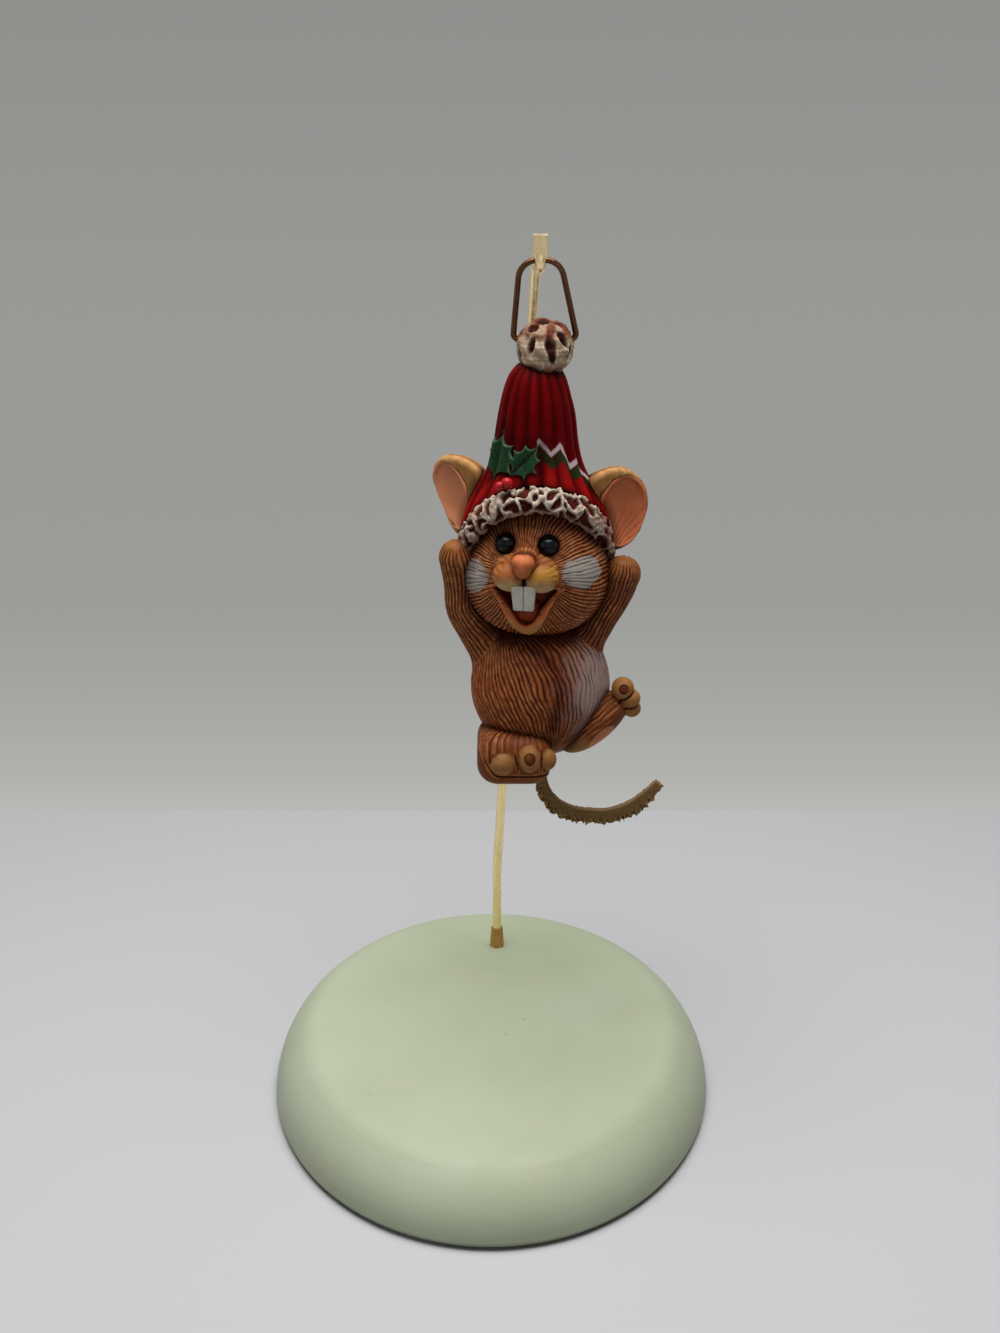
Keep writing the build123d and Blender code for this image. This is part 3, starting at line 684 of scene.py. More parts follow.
# Feet: a plump foot with three toes, fur combed down its side, a ringed disc on one toe
feet = {
    "foot_left": {
        "size": (12.2, 13.6, 8.9), "place": (-4.3, -4.3, -9.9), "seed": 41,
        "toes": (((-6.2, -10.3, -9.9), 3.9, 3.9), ((-1.9, -10.6, -9.1), 3.5, 4.3),
                 ((1.1, -9.4, -9.6), 2.9, 3.6)),
        "disc": 1, "discWay": (0.05, -0.96, 0.28), "discRadius": 1.0,
    },
    "foot_right": {
        "size": (14.6, 8.0, 6.2), "place": (9.0, -3.5, -5.2), "turn": -43.0, "seed": 46,
        "toes": (((13.3, -5.2, 1.2), 3.7, 3.7), ((14.6, -4.9, -0.7), 3.3, 3.3),
                 ((14.9, -4.4, -2.6), 3.0, 3.0)),
        "disc": 0, "discWay": (0.05, -0.98, 0.15), "discRadius": 0.8,
    },
}
paw = {
    "rounding": 3.3, "segments": 8, "voxel": 0.13, "rubs": 9, "toeEdge": (-1.2, -0.98), "seamWidth": 0.09,
    "seamEdge": (-1.5, -1.25), "ringWidth": 0.15, "discSoft": 0.06, "shadeReach": 1.3, "fine": 0.08,
    "cuts": {"groove": 0.24, "ring": 0.2, "disc": 0.1, "seam": 0.4, "underToes": 0.35},
    "washAndShadeShares": {"ring": 0.55, "disc": 0.1, "seam": 0.7, "underToes": 0.7},
    "paint": {
        "middle": (120, 58, 25), "crest": (176, 114, 66), "dark": (56, 16, 7),
        "patches": {"heel": (168, 116, 68), "toePaint": (168, 118, 68), "sole": (222, 138, 102),
                    "disc": (112, 52, 26)},
    },
}
# the standing foot: a furrow under its toes, and fur combed down from the ankle
standing = {
    "combMiddle": (-2.5, -1), "lines": 56, "lean": 0.8, "level": -12.15, "rise": 0.4, "from": -6.5,
    "half": 0.2,
    "front": (5.5, 7.5), "furEdge": (0.2, 1.2), "frontFur": 0.3, "sideFur": (4.5, 8.5),
}
# the raised foot: fur along the leg, a bare heel and a pink pad on the sole
raised = {
    "alongWay": (0.73, 0, 0.68), "lineWay": (-4.8, 4.2, 5.1), "furEnd": (9.6, 7.0),
    "underWay": (-0.68, 0, 0.73),
    "underEdge": (-10.6, -9.2), "furShare": 0.7, "heel": (-1.6, 0.4), "pad": (9.9, -6.9, -7.0),
    "padWay": (0.65, 0, 0.76), "padLength": 2.9, "padWidth": 1.2, "padEdge": (-1.08, -0.85), "padFront": -4,
}


def addBlock(name, centre, size, rounding, segments):
    bpy.ops.object.select_all(action="DESELECT")
    bpy.ops.mesh.primitive_cube_add(size=1, location=Vector(centre) * mm)
    block = bpy.context.active_object
    block.name = name
    block.scale = Vector(size) * mm
    applyPlace(block)
    bevelled(block, rounding, segments)
    return block


for footNode, foot in feet.items():
    spot = torsoCentre + foot["place"]
    if "turn" in foot:
        balls = [addBall("footBall", spot, foot["size"], (0, foot["turn"], 0))]
    else:
        balls = [addBlock("footBlock", spot, foot["size"], paw["rounding"], paw["segments"])]
    balls += [addBall("toeBall", torsoCentre + toe, (wide, wide, high)) for toe, wide, high in foot["toes"]]
    footPiece = clay(pressTogether(footNode + "Skin", balls), paw["voxel"], paw["rubs"])
    places, normals = readPoints(footPiece)
    local = places - torsoCentre
    toeGaps = [
        np.linalg.norm((local - toe) / np.array([wide / 2, wide / 2, high / 2]), axis=1)
        for toe, wide, high in foot["toes"]
    ]
    nearestGap, nextGap = np.sort(toeGaps, axis=0)[:2]
    onToe = fade(-nearestGap + 0.05 * ripple(local, 0.9, foot["seed"] + 5), *paw["toeEdge"])
    discToe, discWide, _ = foot["toes"][foot["disc"]]
    discWay = np.array(foot["discWay"]) / np.linalg.norm(foot["discWay"])
    discGap = np.linalg.norm(local - np.array(discToe) - discWay * discWide / 2, axis=1) - foot["discRadius"]
    marks = {
        "seam": bell(nextGap - nearestGap, paw["seamWidth"]) * fade(-nearestGap, *paw["seamEdge"]),
        "ring": bell(discGap, paw["ringWidth"]) * onToe,
        "disc": fade(-discGap, -paw["discSoft"], paw["discSoft"]) * onToe,
        "underToes": np.zeros(len(places)),
    }
    sole = heel = np.zeros(len(places))
    if footNode == "foot_left":
        fromMiddle = local[:, :2] - standing["combMiddle"]
        lines = np.arctan2(fromMiddle[:, 0], -fromMiddle[:, 1]) * standing["lines"]
        lines = lines + standing["lean"] * local[:, 2]
        along = local[:, 2]
        lineLevel = standing["level"] + standing["rise"] * np.minimum(local[:, 0] - standing["from"], 0) ** 2
        onLine = bell(local[:, 2] - lineLevel, standing["half"])
        marks["underToes"] = onLine * fade(-local[:, 1], *standing["front"])
        sideFur = fade(-local[:, 0], *standing["sideFur"])
        furred = fade(local[:, 2] - lineLevel, *standing["furEdge"])
        furred = furred * (standing["frontFur"] + (1 - standing["frontFur"]) * sideFur)
    else:
        along = local @ np.array(raised["alongWay"])
        lines = local @ np.array(raised["lineWay"])
        under = fade(local @ np.array(raised["underWay"]), *raised["underEdge"])
        furred = raised["furShare"] * fade(along, *raised["furEnd"]) * under
        heel = fade(-along, *raised["heel"])
        padGap = local - np.array(raised["pad"])
        padWay = np.array(raised["padWay"])
        padSide = np.array([padWay[2], 0, -padWay[0]])
        padShare = np.hypot(padGap @ padWay / raised["padLength"], padGap @ padSide / raised["padWidth"])
        sole = fade(-padShare, *raised["padEdge"]) * (local[:, 1] < raised["padFront"])
    marks["groove"] = furLines(lines, along, local, foot["seed"]) * (1 - onToe) * furred
    cut = sum(depth * marks[name] for name, depth in paw["cuts"].items())
    writePoints(footPiece, places - normals * cut[:, None])
    store(footPiece, "toePaint", onToe * 0.85)
    store(footPiece, "disc", marks["disc"])
    store(footPiece, "sole", sole * 0.9)
    store(footPiece, "heel", heel * 0.7)
    # painted shade where the foot meets the torso, in the toe seams and in the furrow under the toes; the
    # toe's ring and disc are darkened too
    extra = 0.85 * nearTo(places, paw["shadeReach"], "torso") ** 1.3
    extra = extra + sum(share * marks[name] for name, share in paw["washAndShadeShares"].items())
    washShadeAndHighlight(footPiece, paw["fine"], extra=extra)
    dress(footPiece, washAndShadeFinish(footNode + "Fur", **paw["paint"]), "figurine", "fur_brown", footNode)

# Muzzle: a bridge and two puffs on a broad low mound. Edges are where a fade starts and ends.
muzzle = {
    "puffs": (((0, -9.6, 5.0), (4.6, 6.4, 4.8)), ((-2.4, -9.7, 2.7), (5.9, 6.0, 5.0)),
              ((2.4, -9.7, 2.7), (5.9, 6.0, 5.0)), ((0, -9.1, 3.5), (10.6, 4.8, 6.6))),
    "voxel": 0.11, "rubs": 12, "puffMiddle": (2.35, 2.7), "spokeMiddle": 4.0, "spokes": 30, "wander": 1.6,
    "whiskerStart": (1.5, 2.4), "whiskerFloor": (2.0, 3.4), "bridge": (2.6, 3.4), "grooveDepth": 0.07,
    "cleftWidth": 0.26, "cleftTop": 4.4, "cleftDepth": 0.25, "cleftShade": 0.85, "seed": 51,
    "puffEdge": (-3.2, -1.6), "puffInner": (0.15, 0.7), "puffOuter": (-5.0, -4.2),
    "yellowStart": (0.4, 1.4), "yellowLevel": 3.4, "yellowEdge": (-2.0, -0.8), "yellowCover": 0.7,
    "noseShade": 0.9, "fine": 0.06, "broad": 0.3,
    "paint": {
        "middle": (164, 92, 46), "crest": (200, 142, 86), "dark": (64, 20, 8),
        "patches": {"yellowSide": (184, 134, 56), "puffPaint": (212, 178, 128)},
    },
}
balls = [addBall("puffBall", onHead(spot), size, (0, 0, head["turn"])) for spot, size in muzzle["puffs"]]
muzzlePiece = clay(pressTogether("muzzleSkin", balls), muzzle["voxel"], muzzle["rubs"])
places, normals = readPoints(muzzlePiece)
face = headView(places)
aside, up = np.abs(face[:, 0]), face[:, 2]
fromPuff = np.hypot(aside - muzzle["puffMiddle"][0], up - muzzle["puffMiddle"][1])
spokes = np.arctan2(up - muzzle["spokeMiddle"], face[:, 0])
lines = muzzle["spokes"] * spokes + ripple(face, 1.8, muzzle["seed"]) * muzzle["wander"]
groove = combLines(lines, 2.2) * fade(fromPuff, *muzzle["whiskerStart"]) * fade(up, *muzzle["whiskerFloor"])
groove = groove * fade(np.hypot(face[:, 0], up - muzzle["spokeMiddle"]), *muzzle["bridge"])
cleft = bell(face[:, 0], muzzle["cleftWidth"]) * (up < muzzle["cleftTop"])
cut = muzzle["grooveDepth"] * groove + muzzle["cleftDepth"] * cleft
writePoints(muzzlePiece, places - normals * cut[:, None])
low = fade(-up + 0.25 * ripple(face, 1.0, muzzle["seed"] + 1), *muzzle["puffEdge"])
store(muzzlePiece, "puffPaint", low * fade(aside, *muzzle["puffInner"]) * fade(-aside, *muzzle["puffOuter"]))
yellow = fade(face[:, 0], *muzzle["yellowStart"])
yellow = yellow * fade(-np.abs(up - muzzle["yellowLevel"]), *muzzle["yellowEdge"])
store(muzzlePiece, "yellowSide", yellow * muzzle["yellowCover"])
# painted shade under the nose and in the cleft between the puffs
extra = 0.85 * nearTo(places, muzzle["noseShade"], "nose") ** 1.4 + muzzle["cleftShade"] * cleft
washShadeAndHighlight(muzzlePiece, muzzle["fine"], muzzle["broad"], extra)
dress(muzzlePiece, washAndShadeFinish("muzzlePaint", **muzzle["paint"]), "figurine", "muzzle_cream", "muzzle")

# Nose: a rounded peach wedge, broad at the top
nose = {
    "lobes": (((-0.62, -12.0, 5.5), 2.7), ((0.42, -12.0, 5.5), 2.7), ((-0.1, -12.0, 4.45), 2.9),
              ((-0.1, -12.1, 5.15), 3.35)),
    "depth": 3.1, "voxel": 0.09, "rubs": 16, "shadeReach": 0.6, "shade": 0.7,
    "paint": {
        "light": (210, 122, 78), "deep": (188, 102, 60), "roughness": 0.42, "size": 1.4, "washAndShade": (96, 34, 14),
    },
}
balls = [
    addBall("noseBall", onHead(spot), (size, nose["depth"], size), (0, 0, head["turn"]))
    for spot, size in nose["lobes"]
]
nosePiece = clay(pressTogether("noseBead", balls), nose["voxel"], nose["rubs"])
places, _ = readPoints(nosePiece)
# painted shade where the nose meets the muzzle
store(nosePiece, "washAndShade", nearTo(places, nose["shadeReach"], "muzzle") ** 1.3 * nose["shade"])
dress(nosePiece, plainPaint("nosePaint", **nose["paint"]), "figurine", "nose_peach", "nose")

# Teeth
teeth = {
    "width": 1.98, "length": 4.0, "thickness": 1.1, "top": 1.7, "reach": 12.3, "taper": 0.8, "gap": 0.05,
    "rounding": 0.22, "segments": 5,
    "paint": {"light": (206, 201, 188), "deep": (192, 186, 172), "roughness": 0.3, "size": 1.2, "coat": 0.2},
}
toothPieces = []
for side in (-1, 1):
    bpy.ops.object.select_all(action="DESELECT")
    bpy.ops.mesh.primitive_cube_add(size=1)
    tooth = bpy.context.active_object
    corners = np.array([vertex.co for vertex in tooth.data.vertices])
    taper = np.where(corners[:, 2] < 0, teeth["taper"], 1.0)
    shaped = np.stack([
        side * (teeth["gap"] / 2 + (corners[:, 0] + 0.5) * teeth["width"] * taper),
        -teeth["reach"] + (corners[:, 1] + 0.5) * teeth["thickness"],
        teeth["top"] - (0.5 - corners[:, 2]) * teeth["length"],
    ], axis=1)
    writePoints(tooth, headCentre + shaped @ headTurn.T)
    turnOutwards(tooth)
    bevelled(tooth, teeth["rounding"], teeth["segments"])
    bpy.ops.object.shade_smooth_by_angle(angle=math.radians(30))
    toothPieces.append(tooth)
teethPiece = pressTogether("teethPair", toothPieces)
dress(teethPiece, plainPaint("toothEnamel", **teeth["paint"]), "figurine", "tooth_white", "front_teeth")

# Tongue
tongue = {
    "place": (0, -8.1, -3.6), "size": (5.0, 2.8, 4.0), "voxel": 0.12, "rubs": 2,
    "paint": {"light": (170, 70, 32), "deep": (142, 50, 22), "roughness": 0.36, "size": 1.0, "coat": 0.1},
}
tonguePiece = addBall("tonguePad", onHead(tongue["place"]), tongue["size"], (0, 0, head["turn"]))
clay(tonguePiece, tongue["voxel"], tongue["rubs"])
dress(tonguePiece, plainPaint("tonguePaint", **tongue["paint"]), "figurine", "tongue_red", "tongue")

# Lower lip: peach slopes down the sides of the mouth, cream under the chin
mouth = {
    "half": 5.2, "rise": 0.8, "depth": 6.3,
    "sideShares": ((1.0, 0.0), (0.79, 0.222), (0.567, 0.444), (0.385, 0.714), (0.2, 0.93)),
    "voxel": 0.11, "rubs": 5, "rollFrom": 0.75, "rollWidth": 0.45, "roll": 0.15, "front": (7.0, 8.5),
    "sides": (-5.6, -3.6), "sink": 0.3, "sinkInner": 0.75, "sinkReach": 1.2,
    "chin": (3.6, 5.4), "chinEdge": (0.25, 0.8), "slope": (-0.35, 0.05), "slopeCover": 0.8,
    "cornerShade": 0.55, "corners": (-1.2, 0.9), "edgeShade": 0.75, "edge": (1.0, 1.5),
    "edgeSides": (-6.2, -4.6),
    "fine": 0.05, "broad": 0.4,
    "paint": {
        "middle": (212, 112, 68), "crest": (224, 134, 86), "dark": (74, 22, 10), "roughness": 0.4,
        "patches": {"slope": (186, 82, 46), "chin": (200, 142, 86)},
    },
}
leftSide = [
    (-out * mouth["half"], mouth["rise"] - down * mouth["depth"]) for out, down in mouth["sideShares"]
]
rightSide = [(-beside, level) for beside, level in reversed(leftSide)]
mouthOutline = [*leftSide, (0, mouth["rise"] - mouth["depth"]), *rightSide]
lipPiece = clay(copyOfNode("lower_lip", "lipRoll"), mouth["voxel"], mouth["rubs"])
places, normals = readPoints(lipPiece)
face = headView(places)
fromMouth = -depthInside(face[:, [0, 2]], mouthOutline)
swell = bell(fromMouth - mouth["rollFrom"], mouth["rollWidth"]) * fade(-face[:, 1], *mouth["front"])
onSides = fade(face[:, 2], *mouth["sides"])
sink = onSides * (mouth["sink"] + mouth["sinkInner"] * np.clip(1 - fromMouth / mouth["sinkReach"], 0, 1))
backward = headTurn @ np.array([0, 1, 0])
places = places + normals * (mouth["roll"] * swell * (1 - onSides))[:, None] + np.outer(sink, backward)
writePoints(lipPiece, places)
store(lipPiece, "chin", fade(-face[:, 2], *mouth["chin"]) * fade(fromMouth, *mouth["chinEdge"]))
store(lipPiece, "slope", fade(-fromMouth, *mouth["slope"]) * mouth["slopeCover"])
extra = mouth["cornerShade"] * fade(face[:, 2], *mouth["corners"])
extra = extra + mouth["edgeShade"] * fade(fromMouth, *mouth["edge"]) * fade(face[:, 2], *mouth["edgeSides"])
washShadeAndHighlight(lipPiece, mouth["fine"], mouth["broad"], extra)
dress(lipPiece, washAndShadeFinish("lipPaint", **mouth["paint"]), "figurine", "lip_peach", "lower_lip")

# Ears: cupped leaf shapes, wide tan rim, pink inside. Outlines are across and up from the ear's middle.
ears = {
    "ear_left": {
        "place": (-12.7, 1.6, 13.1), "yaw": -35.0, "seed": 61, "pink": (238, 156, 112), "streaks": 0.0,
        "hollow": ((-4.36, 2.65), (-2.93, 4.24), (-0.28, 3.53), (1.87, 1.37), (2.16, -2.47), (1.81, -6.98),
                   (-3.02, -2.72), (-4.47, 2.09)),
    },
    "ear_right": {
        "place": (12.7, 1.6, 10.9), "yaw": 15.0, "seed": 66, "pink": (224, 128, 84), "streaks": 1.0,
        "hollow": ((-3.0, 1.92), (-1.11, 4.79), (1.38, 5.59), (3.93, 4.18), (4.55, 1.67), (4.36, -1.63),
                   (2.46, -4.83), (-0.06, -5.62), (-1.22, -3.71), (-2.38, -1.14)),
    },
}
earShape = {
    "voxel": 0.13, "rubs": 6, "facing": (0.05, 0.3), "steps": 10, "pinkGrow": 0.25, "ragged": 0.06,
    "pinkEdge": (-0.1, 0.12), "lipWidth": 0.22, "lipDepth": 0.1, "fanFrom": (2.0, 7.5), "fanLines": 46,
    "fanEdge": (-3.0, 2.0), "brushStretch": (1, 0.35), "brushDepth": 0.03, "shadow": (0.2, 2.6),
    "shadowCover": 0.45,
    "shadowShade": 0.86, "rimWash": 0.35, "rim": (0.9, 0.2), "hatShade": 1.6, "fine": 0.05, "broad": 0.6,
    "middle": (168, 118, 66), "crest": (200, 150, 94), "dark": (60, 22, 8),
}
for earNode, ear in ears.items():
    earPiece = clay(copyOfNode(earNode, earNode + "Cup"), earShape["voxel"], earShape["rubs"])
    places, normals = readPoints(earPiece)
    yaw = math.radians(ear["yaw"])
    sideWay = np.array([math.cos(yaw), math.sin(yaw), 0])
    frontWay = np.array([math.sin(yaw), -math.cos(yaw), 0])
    fromMiddle = places - onHead(ear["place"])
    onEar = np.stack([fromMiddle @ sideWay, fromMiddle[:, 2]], axis=1)
    front = fade(normals @ frontWay, *earShape["facing"])
    # the outline runs on past its start and is cut back, so that it is round there too
    steps = earShape["steps"]
    hollow = smoothRoute([*ear["hollow"], *ear["hollow"][:3]], steps * (len(ear["hollow"]) + 2) + 1)
    hollow = hollow[steps:-steps - 1]
    edge = depthInside(onEar, hollow) + earShape["pinkGrow"]
    edge = edge + earShape["ragged"] * ripple(onEar, 1.6, ear["seed"])
    pink = fade(edge, *earShape["pinkEdge"]) * front
    lip = bell(edge, earShape["lipWidth"]) * front
    fan = np.arctan2(onEar[:, 0] + earShape["fanFrom"][0], onEar[:, 1] + earShape["fanFrom"][1])
    streak = combLines(earShape["fanLines"] * fan + ripple(onEar, 2.4, ear["seed"] + 1), 2.5)
    streak = streak * fade(-onEar[:, 1], *earShape["fanEdge"]) * pink * ear["streaks"]
    brushed = ripple(onEar * np.array(earShape["brushStretch"]), 0.7, ear["seed"] + 2) * (1 - pink)
    shaped = earShape["brushDepth"] * (brushed - streak) - earShape["lipDepth"] * lip
    places = places + normals * shaped[:, None]
    writePoints(earPiece, places)
    store(earPiece, "inside", pink)
    store(earPiece, "shadow", fade(edge, *earShape["shadow"]) * front * earShape["shadowCover"])
    outerEdge = fade(np.abs(fromMiddle @ frontWay), *earShape["rim"]) * (1 - front) * earShape["rimWash"]
    closeBy = nearTo(places, earShape["hatShade"], "hat_crown", "hat_brim")
    extra = 0.85 * closeBy + 0.16 * lip + outerEdge + 0.07 * streak
    washShadeAndHighlight(earPiece, earShape["fine"], earShape["broad"], extra)
    shadowPink = tuple(channel * earShape["shadowShade"] for channel in ear["pink"])
    earFinish = washAndShadeFinish(
        earNode + "Skin", earShape["middle"], earShape["crest"], earShape["dark"],
        {"inside": ear["pink"], "shadow": shadowPink},
    )
    dress(earPiece, earFinish, "figurine", "ear_skin", earNode)

# Hat crown: satin ribs, painted with a white and a green zigzag that run level with the brim.
# The zigzag stops where the leaves are, between two azimuths.
hat = {
    "tilt": 53.0, "rise": 3.8, "roundness": 0.94, "ribs": 17, "voxel": 0.17, "rubs": 8, "seed": 71,
    "zigzags": 12, "zigzagStart": 3.5, "bandLevel": 6.4, "bandSwing": 0.7, "wobble": 0.07,
    "whiteHalf": 0.3, "whiteSoft": 0.07, "greenDrop": 1.05, "greenHalf": 0.62, "greenSoft": 0.12,
    "greenCover": 0.95,
    "oliveEdge": (-1.1, -0.6), "oliveCover": 0.7, "brightEdge": (1.6, 1.9), "brightCover": 0.9,
    "brightGroove": 0.6,
    "side": (0.15, 0.4), "grooveWidth": 0.13, "grooveDepth": 0.06, "lumpDepth": 0.08,
    "shade": (-0.46, 0.1), "shadeCover": 0.65, "leavesFrom": -104.0, "leavesTo": 0.0,
    "seamShade": 1.3, "leafShade": 1.6, "leafShadow": 0.6, "fine": 0.12, "broad": 0.9,
    "paint": {
        "middle": (104, 3, 6), "crest": (126, 8, 10), "dark": (28, 2, 3), "roughness": 0.5, "shine": 0.04,
        "patches": {"bright": (158, 18, 15), "green": (28, 58, 28), "olive": (62, 46, 22),
                    "shade": (46, 2, 3), "white": (206, 182, 186)},
    },
}
brimMiddle = headCentre + np.array([0, 0, hat["rise"]])
brimUp = np.array([0, math.sin(math.radians(hat["tilt"])), math.cos(math.radians(hat["tilt"]))])
crownPiece = clay(copyOfNode("hat_crown", "crownKnit"), hat["voxel"], hat["rubs"])
places, normals = readPoints(crownPiece)
local = places - headCentre
forward = -local[:, 1] / hat["roundness"]
azimuth = np.arctan2(local[:, 0], forward)
onSide = fade(np.hypot(normals[:, 0], normals[:, 1]), *hat["side"])
ribPhase = (hat["ribs"] * np.arctan2(forward, local[:, 0]) / fullTurn) % 1.0
fromGroove = np.abs((ribPhase + 0.5) % 1.0 - 0.5)
groove = bell(fromGroove, hat["grooveWidth"]) * onSide
lumps = ripple(np.stack([azimuth * 6, local[:, 2] * 0.3], 1), 1.6, hat["seed"])
places = places + normals * (hat["lumpDepth"] * lumps * onSide - hat["grooveDepth"] * groove)[:, None]
writePoints(crownPiece, places)
level = (local - np.array([0, 0, hat["rise"]])) @ brimUp
turn = (np.degrees(azimuth) - hat["zigzagStart"]) / (360 / hat["zigzags"])
swing = hat["bandSwing"] * (1 - 4 * np.abs(turn - np.round(turn)))
bandGap = level - hat["bandLevel"] - swing + hat["wobble"] * ripple(local, 0.9, hat["seed"] + 1)
clear = ((np.degrees(azimuth) < hat["leavesFrom"]) | (np.degrees(azimuth) > hat["leavesTo"])) * onSide
white = fade(hat["whiteHalf"] - np.abs(bandGap), -hat["whiteSoft"], hat["whiteSoft"])
green = fade(hat["greenHalf"] - np.abs(bandGap + hat["greenDrop"]), -hat["greenSoft"], hat["greenSoft"])
store(crownPiece, "white", white * clear)
store(crownPiece, "green", green * clear * hat["greenCover"])
store(crownPiece, "olive", fade(bandGap, *hat["oliveEdge"]) * (bandGap < 0) * clear * hat["oliveCover"])
bright = fade(-bandGap, *hat["brightEdge"]) * (1 - hat["brightGroove"] * groove)
store(crownPiece, "bright", bright * hat["brightCover"])
store(crownPiece, "shade", fade(-fromGroove, *hat["shade"]) * onSide * hat["shadeCover"])
# painted shade along the brim and the pompom, and round the leaves
closeBy = nearTo(places, hat["seamShade"], "hat_brim", "pompom")
leafNear = nearTo(places, hat["leafShade"], "holly_leaf_left", "holly_leaf_right")
washShadeAndHighlight(crownPiece, hat["fine"], hat["broad"], 0.85 * closeBy ** 1.3 + hat["leafShadow"] * leafNear, lines=0.1)
dress(crownPiece, washAndShadeFinish("crownPaint", **hat["paint"]), "figurine", "hat_red", "hat_crown")
crownSkin = surfaceOf(crownPiece)

# Hat brim: a roll covered in a white woollen net over red-brown pits
brim = {
    "width": 22.4, "length": 27.4, "thickness": 2.7, "height": 4.4, "cell": 2.7, "rowShare": 0.85,
    "jitter": 0.33,
    "wander": 0.55, "wanderSize": 1.6, "strand": (0.45, 0.85), "strandRagged": 0.3, "pitDepth": 0.62,
    "swell": 0.22,
    "seed": 81, "voxel": 0.15, "rubs": 1, "endsFrom": (0.62, 1.0), "endsRagged": (-1.0, 0.6),
    "endsCover": 0.7,
    "underside": (0.1, 0.8), "undersideCover": 0.5, "headShade": 1.0, "fine": 0.14, "broad": 0.5,
    "lines": 0.55,
    "paint": {
        "middle": (170, 148, 130), "crest": (208, 194, 176), "dark": (40, 10, 5), "roughness": 0.6,
        "shine": 0.06,
        "patches": {"patchTone": (140, 84, 62), "pit": (76, 22, 12)},
    },
}
bpy.ops.object.select_all(action="DESELECT")
bpy.ops.mesh.primitive_torus_add(
    major_segments=96, minor_segments=32,
    major_radius=brim["width"] / 2 * mm, minor_radius=brim["thickness"] / 2 * mm,
)
brimPiece = bpy.context.active_object
brimPiece.name = "brimRoll"
stretchY, stretchZ = brim["length"] / brim["width"], brim["height"] / brim["thickness"]
brimPiece.scale = (1, stretchY, stretchZ)
applyPlace(brimPiece)
brimPiece.rotation_euler = (-math.radians(hat["tilt"]), 0, 0)
brimPiece.location = Vector(brimMiddle) * mm
applyPlace(brimPiece)
clay(brimPiece, brim["voxel"], brim["rubs"])
places, normals = readPoints(brimPiece)
lean = np.array(Matrix.Rotation(-math.radians(hat["tilt"]), 3, "X"))
ringView = (places - brimMiddle) @ lean / np.array([1, stretchY, stretchZ])
aroundRing = np.arctan2(ringView[:, 1], ringView[:, 0])
outOfRing = np.hypot(ringView[:, 0], ringView[:, 1]) - brim["width"] / 2
aroundRoll = np.arctan2(ringView[:, 2], outOfRing)
ringLength = (brim["width"] + brim["length"]) / 4 * fullTurn
rollLength = (brim["thickness"] + brim["height"]) / 4 * fullTurn


def netOfCells(first, second, firstLength, secondLength):
    # distance from the wall between the two nearest cell middles, on a sheet that closes both ways
    source = np.random.default_rng(brim["seed"])
    columns, rows = round(firstLength / brim["cell"]), round(secondLength / (brim["cell"] * brim["rowShare"]))
    jitter = brim["jitter"]
    nearest = np.full(len(first), np.inf)
    nextNearest = np.full(len(first), np.inf)
    for column in range(columns):
        for row in range(rows):
            middleFirst = (column + 0.5 * (row % 2) + source.uniform(-jitter, jitter)) * firstLength / columns
            middleSecond = (row + source.uniform(-jitter, jitter)) * secondLength / rows
            gapFirst = np.abs(first - middleFirst) % firstLength
            gapSecond = np.abs(second - middleSecond) % secondLength
            gapFirst = np.minimum(gapFirst, firstLength - gapFirst)
            gapSecond = np.minimum(gapSecond, secondLength - gapSecond)
            gap = np.hypot(gapFirst, gapSecond)
            nextNearest = np.where(gap < nearest, nearest, np.minimum(nextNearest, gap))
            nearest = np.minimum(nearest, gap)
    return nextNearest - nearest


wander = [brim["wander"] * ripple(places, brim["wanderSize"], brim["seed"] + more) for more in (1, 2)]
wallGap = netOfCells(
    aroundRing / fullTurn * ringLength + wander[0], aroundRoll / fullTurn * rollLength + wander[1],
    ringLength, rollLength,
)
pit = fade(wallGap + brim["strandRagged"] * ripple(places, 0.9, brim["seed"] + 3), *brim["strand"])
crumbs = 0.11 * ripple(places, 0.75, brim["seed"] + 4) + 0.06 * ripple(places, 0.35, brim["seed"] + 6)
places = places + normals * (brim["swell"] - brim["pitDepth"] * pit + crumbs * (1 - 0.5 * pit))[:, None]
writePoints(brimPiece, places)
fromEnds = np.abs((places - brimMiddle) @ lean)[:, 0] / (brim["width"] / 2)
ends = fade(fromEnds, *brim["endsFrom"]) * fade(ripple(places, 2.0, brim["seed"] + 5), *brim["endsRagged"])
# the ends are tinted red-brown, and the underside takes the same colour as painted shade
underside = fade(-normals[:, 2], *brim["underside"]) * brim["undersideCover"]
store(brimPiece, "pit", pit)
store(brimPiece, "patchTone", np.maximum(ends * brim["endsCover"], underside))
extra = 0.75 * nearTo(places, brim["headShade"], "head") ** 1.3
washShadeAndHighlight(brimPiece, brim["fine"], brim["broad"], extra, brim["lines"])
dress(brimPiece, washAndShadeFinish("brimWool", **brim["paint"]), "figurine", "wool_white", "hat_brim")

